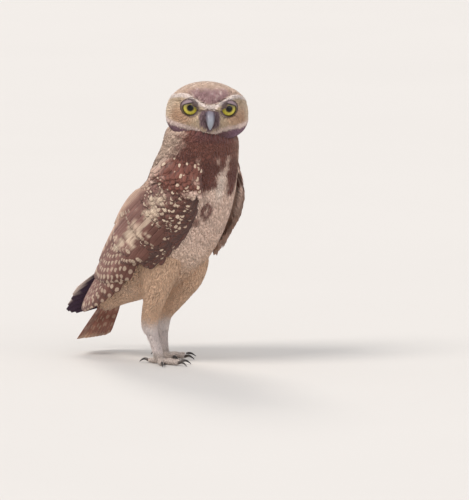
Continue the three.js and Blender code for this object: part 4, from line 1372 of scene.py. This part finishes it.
def claws(side):
    """Claws: horns whose radius falls from 1.35 to 0.3 by u to the power 1.3, arched as half a sine."""
    steps, sides = 20, 14
    parts = []
    for _, end, ahead, aside, length in toe_parts(side):
        def claw(u, v):
            radius = blend(CLAW["radius"], CLAW["tip"], u**1.3)
            rise = np.sin(v * TURN) * radius * (1 - 0.2 * u)
            point = end + ahead * (0.35 + length * u + rise * u / 2)[..., None]
            point = point + aside * (np.cos(v * TURN) * radius * 0.8)[..., None]
            middle = blend(CLAW["height"], CLAW["tip_height"], u * u)
            point[..., 2] = middle + CLAW["arch"] * np.sin(np.pi * u) + rise
            return point
        parts.append(closed_tube(claw, steps, sides))
    piece = make_mesh(side + "_claws", *merged(parts), CLAW_HORN)
    set_number(piece, "root", np.tile((1 - tube_run(steps, sides)) ** 3, len(parts)))
    belongs(piece, "claw", *[f"{side}_claw_{name}" for name in TOES])


for leg_side in LEGS:
    leg_coats(leg_side)
    claws(leg_side)

# Eyes, lids and bill


def eye_axes(hand):
    """An eye's centre, its axis, and two directions across it, up and to the head's left."""
    axis = unit(np.array([np.cos(EYE_TURN), hand * np.sin(EYE_TURN), 0.03]))
    up = unit(np.array([0, 0, 1]) - axis * axis[2])
    return EYE_AT * [1, hand, 1], axis, up, np.cross(up, axis)


def ball_radius(angle):
    """Radius of the eyeball at an angle from its axis: 8.6 + 0.7 exp(-(angle / 0.55)^2)."""
    return EYE_RADIUS + CORNEA["height"] * bell(angle, CORNEA["width"])


def make_eye(side, hand):
    """An eyeball with a low cornea. The map iris holds the distance from its axis and the turn round it, and
    upper how far a point lies above the middle."""
    centre, axis, up, left = eye_axes(hand)
    steps, sides = 72, 64

    def from_axis(u):
        return np.clip(u, 0.002, 0.998) * np.pi

    def surface(u, v):
        angle = from_axis(u)
        ring = up * np.cos(v * TURN)[..., None] + left * np.sin(v * TURN)[..., None]
        way = axis * np.cos(angle)[..., None] + ring * np.sin(angle)[..., None]
        return in_head(centre + way * ball_radius(angle)[..., None])

    piece = make_mesh(side + "_eyeball", *closed_tube(surface, steps, sides), EYE)
    angle = from_axis(np.repeat(np.arange(steps + 1) / steps, sides))
    turn = np.tile(np.arange(sides) / sides, steps + 1)
    away = np.where(angle < np.pi / 2, np.sin(angle), 2 - np.sin(angle)) * EYE_RADIUS
    # The two poles come last
    set_map(piece, "iris", np.stack([np.append(away, [0, 16]), np.append(turn, [0, 0])], -1))
    # upper also greys the iris's top in the eye's material, as painted shade of the brow
    set_number(piece, "upper", np.append(np.sin(angle) * np.cos(turn * TURN) * 1.45, [0, 0]))
    belongs(piece, "eye", side + "_eye")


# Lids from the opening outwards: share of the way to the outer edge, and height over the ball
LID_PROFILE = np.array([
    [-0.08, -0.7], [-0.03, 0.1], [0.05, 0.42], [0.14, 0.5], [0.24, 0.32], [0.36, 0.42], [0.5, 0.26],
    [0.64, 0.42], [0.8, 0.45], [1.0, 0.0], [1.0, -1.4], [0.6, -1.6], [0.2, -1.3],
])


def make_lids(side, hand):
    """Lids: a rolled edge round the opening, a circle that the upper lid cuts off in a line that falls
    towards the bill, and the skin from there out to the feathers, with folds round it. They rest on the
    ball: at a distance r from the axis the base is the root of (ball + cornea + 0.3)^2 - r^2."""
    centre, axis, up, left = eye_axes(hand)
    steps, count = 120, len(LID_PROFILE)
    i, j = np.meshgrid(np.arange(steps), np.arange(count), indexing="ij")
    turn = i / steps * TURN
    share, lift = LID_PROFILE[j].transpose(2, 0, 1)
    cut = LIDS["above"] / np.maximum(np.cos(turn - hand * LIDS["slant"]), 0.3)
    opening = (LIDS["opening"] ** -8.0 + cut**-8.0) ** (-1 / 8)
    radius = blend(opening, LIDS["outer"], share)
    fold = 0.1 * np.sin(9 * turn + 4 * share) * smoothstep(share, 0.1, 0.3) * (lift > 0)
    ball = ball_radius(np.arcsin(np.minimum(radius / 9, 0.97))) + LIDS["gap"]
    base = np.sqrt(np.maximum(ball**2 - np.minimum(radius, 7.9) ** 2, 0))
    ring = up * np.cos(turn)[..., None] + left * np.sin(turn)[..., None]
    grid = in_head(centre + ring * radius[..., None] + axis * (base + lift + fold)[..., None])
    points = grid.reshape(-1, 3)
    after_i, after_j = (i + 1) % steps, (j + 1) % count
    quads = np.stack([i * count + j, i * count + after_j, after_i * count + after_j, after_i * count + j], -1)
    quads = quads.reshape(-1, 4)
    if turned_in(points, quads, np.repeat(grid.mean(1), count, axis=0)):
        quads = quads[:, ::-1]
    piece = make_mesh(side + "_lids", points, [quads], SKIN)
    share, high = share.ravel(), np.cos(turn).ravel()
    tint = over(plain(linear(96, 80, 60), share), (linear(140, 120, 124), smoothstep(high, 0, 0.6)))
    tint = over(
        plain(linear(40, 30, 32), share),
        (tint, smoothstep(share, 0.08, 0.2)),
        (linear(64, 48, 54), smoothstep(share, 0.55, 0.8)),
    )
    set_skin(piece, tint, 0.2)
    subdivision = piece.modifiers.new("smooth", "SUBSURF")
    subdivision.levels = subdivision.render_levels = 1
    belongs(piece, "head_feathers")


def nostrils(points, radius):
    """Bells of the distance of points in the head's frame from the right and the left nostril."""
    middle = np.array(NOSTRIL["at"])
    return [bell(np.linalg.norm(points - middle * [1, hand, 1], axis=-1), radius) for hand in (-1, 1)]


def make_bill(name, rows, node, base, tip):
    """Half of the bill: an oval at each row, flatter below, with the nostrils pressed in as bells of the
    distance from their places, and its tint from the base's colour to the tip's. On the upper half the
    sides are darkened and the nostrils painted near black: painted shade of the lores and of the holes."""
    def surface(u, v):
        x, z, width, height = np.moveaxis(along(rows, u), -1, 0)
        run = heading(rows, u, [0, 1])
        c, s = np.cos(v * TURN), np.sin(v * TURN)
        closing = np.sqrt(1 - np.clip((u - 0.94) / 0.06, 0, 0.96) ** 2)
        up = c * height * np.where(c > 0, 1, 0.75) * closing
        wide = np.sign(s) * np.abs(s) ** 0.9 * width * closing
        point = np.stack([x - run[..., 1] * up, wide, z + run[..., 0] * up], -1)
        right, left = nostrils(point, NOSTRIL["radius"])
        point[..., 1] += (right - left) * 1.1
        return in_head(point)

    steps, sides = 60, 48
    points, faces = closed_tube(surface, steps, sides)
    piece = make_mesh(name, points, faces, BILL)
    u = tube_run(steps, sides)
    tint = over(plain(linear(*base), u), (linear(*tip), smoothstep(u, 0.25, 0.6)))
    if node == "bill_upper":
        local = to_head(points)
        # Painted shade: dark purple-grey sides where the bristly lores shade the bill, and near-black
        # nostrils for the shade inside them
        tint = over(
            tint,
            (linear(84, 74, 84), smoothstep(np.abs(local[:, 1]), 1.3, 3.2) * 0.85),
            (linear(30, 26, 28), np.clip(sum(nostrils(local, 1.1)) * 1.3, 0, 1)),
        )
    set_tint(piece, tint)
    belongs(piece, "bill", node)


for eye_side, eye_hand in (("right", -1), ("left", 1)):
    make_eye(eye_side, eye_hand)
    make_lids(eye_side, eye_hand)
make_bill("upper_bill", UPPER_BILL, "bill_upper", (122, 116, 126), (146, 150, 158))
make_bill("lower_bill", LOWER_BILL, "bill_lower", (104, 96, 98), (124, 118, 116))

# Wings

WING_STEPS = (0.5, 0.5)


def bed_shape(rows, length, backward):
    """The wing's bed at a length: its full reach towards the back or the belly, its round outline's share of
    that, and its thickness, which falls from the shoulder on."""
    u = np.clip((length - ARM["start"]) / (ARM["end"] - ARM["start"]), 0, 1)
    reach = along(rows, length / WING_LENGTH)
    full = np.where(backward, reach[..., 5], reach[..., 6]) - ARM["margin"]
    opening = np.sqrt(1 - np.maximum(1 - u / ARM["front"], 0) ** 2)
    closing = np.sqrt(1 - 0.8 * np.maximum((u - 1 + ARM["rear"]) / ARM["rear"], 0) ** 2)
    thick = blend(ARM["thick"], ARM["thin"], smoothstep(u, 0.25, 1))
    return full, opening * closing, thick * opening * closing


def bed_edge(full, share):
    """Distance of the bed's edge from its middle line."""
    return full * np.maximum(share, ARM["least"])


def bed_height(rows, length, across):
    """Height of the bed's upper face at a place."""
    full, share, thick = bed_shape(rows, length, across > 0)
    return thick * np.clip(1 - (across / bed_edge(full, share)) ** 2, 0, 1) ** 0.35


def wing_bed(side):
    """A wing's bed: across each length an oval that is flat below and sunk at its front."""
    hand, rows = WINGS[side]
    sheet = wing_sheet(side)
    steps, sides = 90, 72

    def bed(u, v):
        length = blend(ARM["start"], ARM["end"], u)
        c, s = np.cos(v * TURN), np.sin(v * TURN)
        full, share, thick = bed_shape(rows, length, c > 0)
        above = thick - 0.5 - ARM["sunk"] * falling(length, 1, 11)
        below = blend(ARM["rim_inside"], ARM["inside"], s * s * share) - 0.5
        height = np.sign(s) * np.abs(s) ** 0.7 * np.where(s > 0, above, below)
        return sheet(np.stack([length, c * bed_edge(full, share)], -1), height)

    piece = make_mesh(side + "_wing_bed", *closed_tube(bed, steps, sides), SKIN)
    length = blend(ARM["start"], ARM["end"], tube_run(steps, sides))
    across = np.append(np.tile(25 * np.cos(np.arange(sides) / sides * TURN), steps + 1), [0, 0])
    # The bed takes the wing's colours darkened by 0.8: painted shade where it shows under the feathers
    set_skin(piece, wing_tint(length, across, hand) * 0.8, 0)
    belongs(piece, "wing_feathers", side + "_wing")


def between(start, end, hand):
    """The lengths of feathers from their roots to their tips, and the steps 1 mm along and beside them."""
    apart = end - start
    size = np.linalg.norm(apart, axis=1)
    ahead = apart / size[:, None]
    return size, (ahead, hand * np.stack([-ahead[:, 1], ahead[:, 0]], -1))


# Large feathers: how ragged their line of tips is, how much each rises over the next and the steepest tilt
# that it may have, and the columns and rows of their squares on the map OFBake, as first place and step
TIER_LAY = dict(ragged=2.2, rise=1.15, steepest=0.28)
TIER_MAP = dict(column=(0.05, 0.084), row=(0.07, 0.14), size=0.036)


def tier_feathers(side, tier, number, seed, count, root, tip, bow, width, lift):
    """One tier of large feathers, from the belly edge to the back edge, each tilted over the next. The line
    of their tips is bowed as half a sine."""
    hand = WINGS[side][0]
    root, tip = np.array(root, float), np.array(tip, float)
    draw = np.random.default_rng(seed)
    t = np.linspace(0, 1, count)[:, None]
    start, end = blend(*root, t), blend(*tip, t)
    end[:, 0] += bow * np.sin(np.pi * t[:, 0]) + draw.uniform(-0.5, 0.5, count) * TIER_LAY["ragged"]
    size, moved = between(start, end, -hand)
    spacing = abs(tip[1, 1] - tip[0, 1]) / (count - 1)
    column, row = TIER_MAP["column"], TIER_MAP["row"]
    patch = np.stack([column[0] + column[1] * np.arange(count), np.full(count, row[0] + row[1] * number)], -1)
    large = tier in ("primaries", "secondaries")
    spots = 0 if hand > 0 and tier == "primaries" else 0.7
    feathers(
        f"{side}_{tier}", "wing_feathers", wing_sheet(side), start, moved, size, width, *lift,
        QUILL if large else COVERT, 0.5, lambda p: wing_tint(p[..., 0], p[..., 1], hand), patch,
        BARRED_PLUMAGE if large or tier == "tertials" else SPOTTED_PLUMAGE,
        tilt=-hand * min(TIER_LAY["rise"] / spacing, TIER_LAY["steepest"]), camber=0.5,
        spots=spots * draw.uniform(0.5, 1, count), patch_size=TIER_MAP["size"], contrast=0.09,
    )


# Small coverts: low and high places, count, length, width, share of spotted feathers, and lean
RIGHT_COVERTS = {
    "lesser_coverts": ((-9, -27), (54, 26), 1400, 12, 6.5, 0.42, 0),
    "back_coverts": ((14, 8), (84, 30), 620, 13, 7, 0.3, 0),
    "edge_coverts": ((20, -33), (68, -14), 580, 12.5, 5.5, 0.3, 0),
}
LEFT_COVERTS = dict(RIGHT_COVERTS, edge_coverts=((20, -33), (57, -14), 460, 12.5, 5.5, 0.3, 0.4))


COVERTS_BEYOND = 4


def small_coverts(side, name, low, high, count, size, wide, spotted, lean):
    """Small feathers over the wing's bed, as far as 4 mm past its edge, where their roots sink. The bed's
    round front leaves the corners ahead of it bare."""
    hand, rows = WINGS[side]
    sheet = wing_sheet(side)
    place = scattered(sheet, low, high, WING_STEPS, count)
    length, across = place.T
    full, share, _ = bed_shape(rows, length, across > 0)
    outside = np.maximum(np.abs(across) - bed_edge(full, share), ARM["start"] - length)
    behind_corners = np.hypot(np.maximum(10 - length, 0) / 16, np.abs(across) / full) < 1.15
    keep = (outside < COVERTS_BEYOND) & behind_corners
    place, outside = place[keep], np.clip(outside[keep], 0, COVERTS_BEYOND)
    n = len(place)
    moved = moves(sheet, place, WING_STEPS, random.normal(lean, SWAY["covert"], n))
    lengths = size * random.uniform(0.8, 1.15, n)
    roots = bed_height(rows, *place.T) - 1 - 1.2 * outside
    tips = bed_height(rows, *(place + moved[0] * lengths[:, None]).T) + random.uniform(0.4, 1.2, n)
    feathers(
        f"{side}_{name}", "wing_feathers", sheet, place, moved, lengths, wide, roots, tips, COVERT_VANE, 0.35,
        lambda p: wing_tint(p[..., 0], p[..., 1], hand),
        np.stack([0.5 + place[:, 1] / 75, 0.12 + place[:, 0] / 100], -1), SPOTTED_PLUMAGE, camber=0.35,
        spots=(random.random(n) < spotted) * random.uniform(0.6, 1, n),
        curl=random.normal(0, CURL["covert"], n),
    )


for wing_side, wing_seed, tier_rows, covert_rows in (
    ("right", 71, RIGHT_TIERS, RIGHT_COVERTS),
    ("left", 171, LEFT_TIERS, LEFT_COVERTS),
):
    wing_bed(wing_side)
    for tier_number, (tier_name, tier_row) in enumerate(tier_rows.items()):
        tier_feathers(wing_side, tier_name, tier_number, wing_seed + tier_number, *tier_row)
    for covert_name, covert_row in covert_rows.items():
        small_coverts(wing_side, covert_name, *covert_row)

# Tail

# The fleshy base: its start and length, half width at its start and end, depth above, below and at its end,
# and how far it lies inside the solid tail
TAIL_BASE = dict(start=-8, length=42, wide=15.5, end_wide=10, above=3.2, below=7, end_deep=1.2, inside=0.4)
# The fan: pairs of feathers, where their roots begin, half the spread of roots and tips, how much shorter the
# outer ones are, the step of each pair in length and in height, that of the left tips, the width and the tilt
FAN = dict(pairs=6, root=12.0, root_spread=7, tip_spread=18.5, shorter=3.5, step=0.4, drop=0.48,
           left_drop=0.45, width=11, tilt=0.16)


def tail_base(u, v):
    """The tail's fleshy base: an oval that flattens towards the fan."""
    c, s = np.cos(v * TURN), np.sin(v * TURN)
    closing = np.sqrt(1 - 0.85 * np.maximum((u - 0.75) / 0.25, 0) ** 2)
    width = blend(TAIL_BASE["wide"], TAIL_BASE["end_wide"], u) * closing - TAIL_BASE["inside"]
    deep = np.where(c > 0, TAIL_BASE["above"], TAIL_BASE["below"])
    depth = blend(deep, TAIL_BASE["end_deep"], smoothstep(u, 0.15, 1)) - TAIL_BASE["inside"]
    return tail_sheet(np.stack([TAIL_BASE["start"] + TAIL_BASE["length"] * u, s * width], -1), c * depth)


def tail_tint(place):
    """Colours of the tail by place: rufous brown with two darker bands and a paler tip."""
    length = place[..., 0]
    mottle = ripple(place, 8, 41)
    tint = over(
        plain(RUFOUS, length),
        (TAIL_BAR, 0.8 * (bell(length - 24, 5) + bell(length - 42, 5))),
        (WARM_BUFF, 0.5 * smoothstep(length + mottle, 56, 63)),
    )
    return dappled(tint, 0.1 * mottle)


def make_tail():
    """The tail's base, and a fan of six feathers to a side, each lower and shorter than the one inside it."""
    points, faces = closed_tube(tail_base, 40, 40)
    piece = make_mesh("tail_base", points, faces, SKIN)
    set_skin(piece, plain(RUFOUS, points[:, 0]), 0)
    belongs(piece, "tail_feathers", "tail")
    number = np.tile(np.arange(FAN["pairs"]), 2)
    hand = np.repeat([-1, 1], FAN["pairs"])
    share = hand * (number + 0.5) / FAN["pairs"]
    tip = TAIL["length"] - FAN["shorter"] * share**2 - FAN["step"] * number
    start = np.stack([np.full(len(hand), FAN["root"]), share * FAN["root_spread"]], -1)
    size, moved = between(start, np.stack([tip, share * FAN["tip_spread"]], -1), 1)
    low = -FAN["drop"] * number
    patch = np.stack([0.06 + 0.078 * np.arange(len(hand)), np.full(len(hand), 0.5)], -1)
    feathers(
        "tail_fan", "tail_feathers", tail_sheet, start, moved, size, FAN["width"], low,
        low - FAN["left_drop"] * (hand > 0), QUILL, 0.5, tail_tint, patch, BARRED_PLUMAGE,
        tilt=-hand * FAN["tilt"], camber=0.3, spots=0.3, patch_size=0.034,
    )


make_tail()

# Floor, light and camera

FLOOR_REACH = 20.0
CAMERA_DISTANCE = 8.0
SENSOR_WIDTH = 36
# Width of the picture at the bird, in metres
PICTURE_WIDTH = 0.4
# The point at the middle of the picture, moved 40 mm towards the camera, to the depth of the bird's near side
TARGET = Vector(placed(np.array([38.1 + 25.5, 46.1 - 30.4, 88.1 + 4.9])))
LAMP_TARGET = Vector((0, 0, 0.12))
# Lamps: azimuth, elevation and softness in degrees, strength, colour
LAMPS = {
    "key": (-15, 50, 24, 2.0, (1.0, 0.96, 0.92)),
    "fill": (75, 30, 60, 0.8, (1.0, 0.98, 0.98)),
    "rim": (-130, 38, 20, 1.2, (1.0, 0.95, 0.88)),
}


def make_floor():
    """A pale, square floor with a faint, broad unevenness of tone."""
    paint = Paint("floor_paper", 0.9)
    paper = paint.finish(paint.shade(linear(204, 200, 195), 0.98 + paint.noise(3, 2) * 0.04))
    mesh = bpy.data.meshes.new("floor")
    corners = [(x * FLOOR_REACH, y * FLOOR_REACH, 0) for x, y in ((-1, -1), (1, -1), (1, 1), (-1, 1))]
    mesh.from_pydata(corners, [], [(0, 1, 2, 3)])
    mesh.materials.append(paper)
    floor = bpy.data.objects.new("floor", mesh)
    bpy.context.scene.collection.objects.link(floor)


def aimed(data, azimuth, elevation, distance, target):
    """An object that looks at a target from a distance, at an azimuth from the bird's right side towards its
    front and an elevation, in degrees."""
    back = Vector(direction_at(np.radians(azimuth - 90), np.radians(elevation)))
    item = bpy.data.objects.new(data.name, data)
    item.location = target + back * distance
    item.rotation_mode = "QUATERNION"
    item.rotation_quaternion = (-back).to_track_quat("-Z", "Y")
    bpy.context.scene.collection.objects.link(item)
    return item


make_floor()
world = bpy.data.worlds.new("studio")
world.use_nodes = True
background = world.node_tree.nodes["Background"].inputs
background["Color"].default_value = (0.9, 0.93, 1.0, 1)
background["Strength"].default_value = 0.62
bpy.context.scene.world = world

for lamp_name, (lamp_azimuth, lamp_elevation, softness, strength, lamp_colour) in LAMPS.items():
    sun = bpy.data.lights.new(lamp_name, "SUN")
    sun.angle, sun.energy, sun.color = np.radians(softness), strength, lamp_colour
    aimed(sun, lamp_azimuth, lamp_elevation, 1, LAMP_TARGET)

camera = bpy.data.cameras.new("camera")
camera.sensor_width = SENSOR_WIDTH
camera.lens = SENSOR_WIDTH * CAMERA_DISTANCE / PICTURE_WIDTH
camera.clip_start, camera.clip_end = 0.1, 100
bpy.context.scene.camera = aimed(camera, 40, 7, CAMERA_DISTANCE, TARGET)
bpy.context.scene.view_settings.view_transform = "Standard"
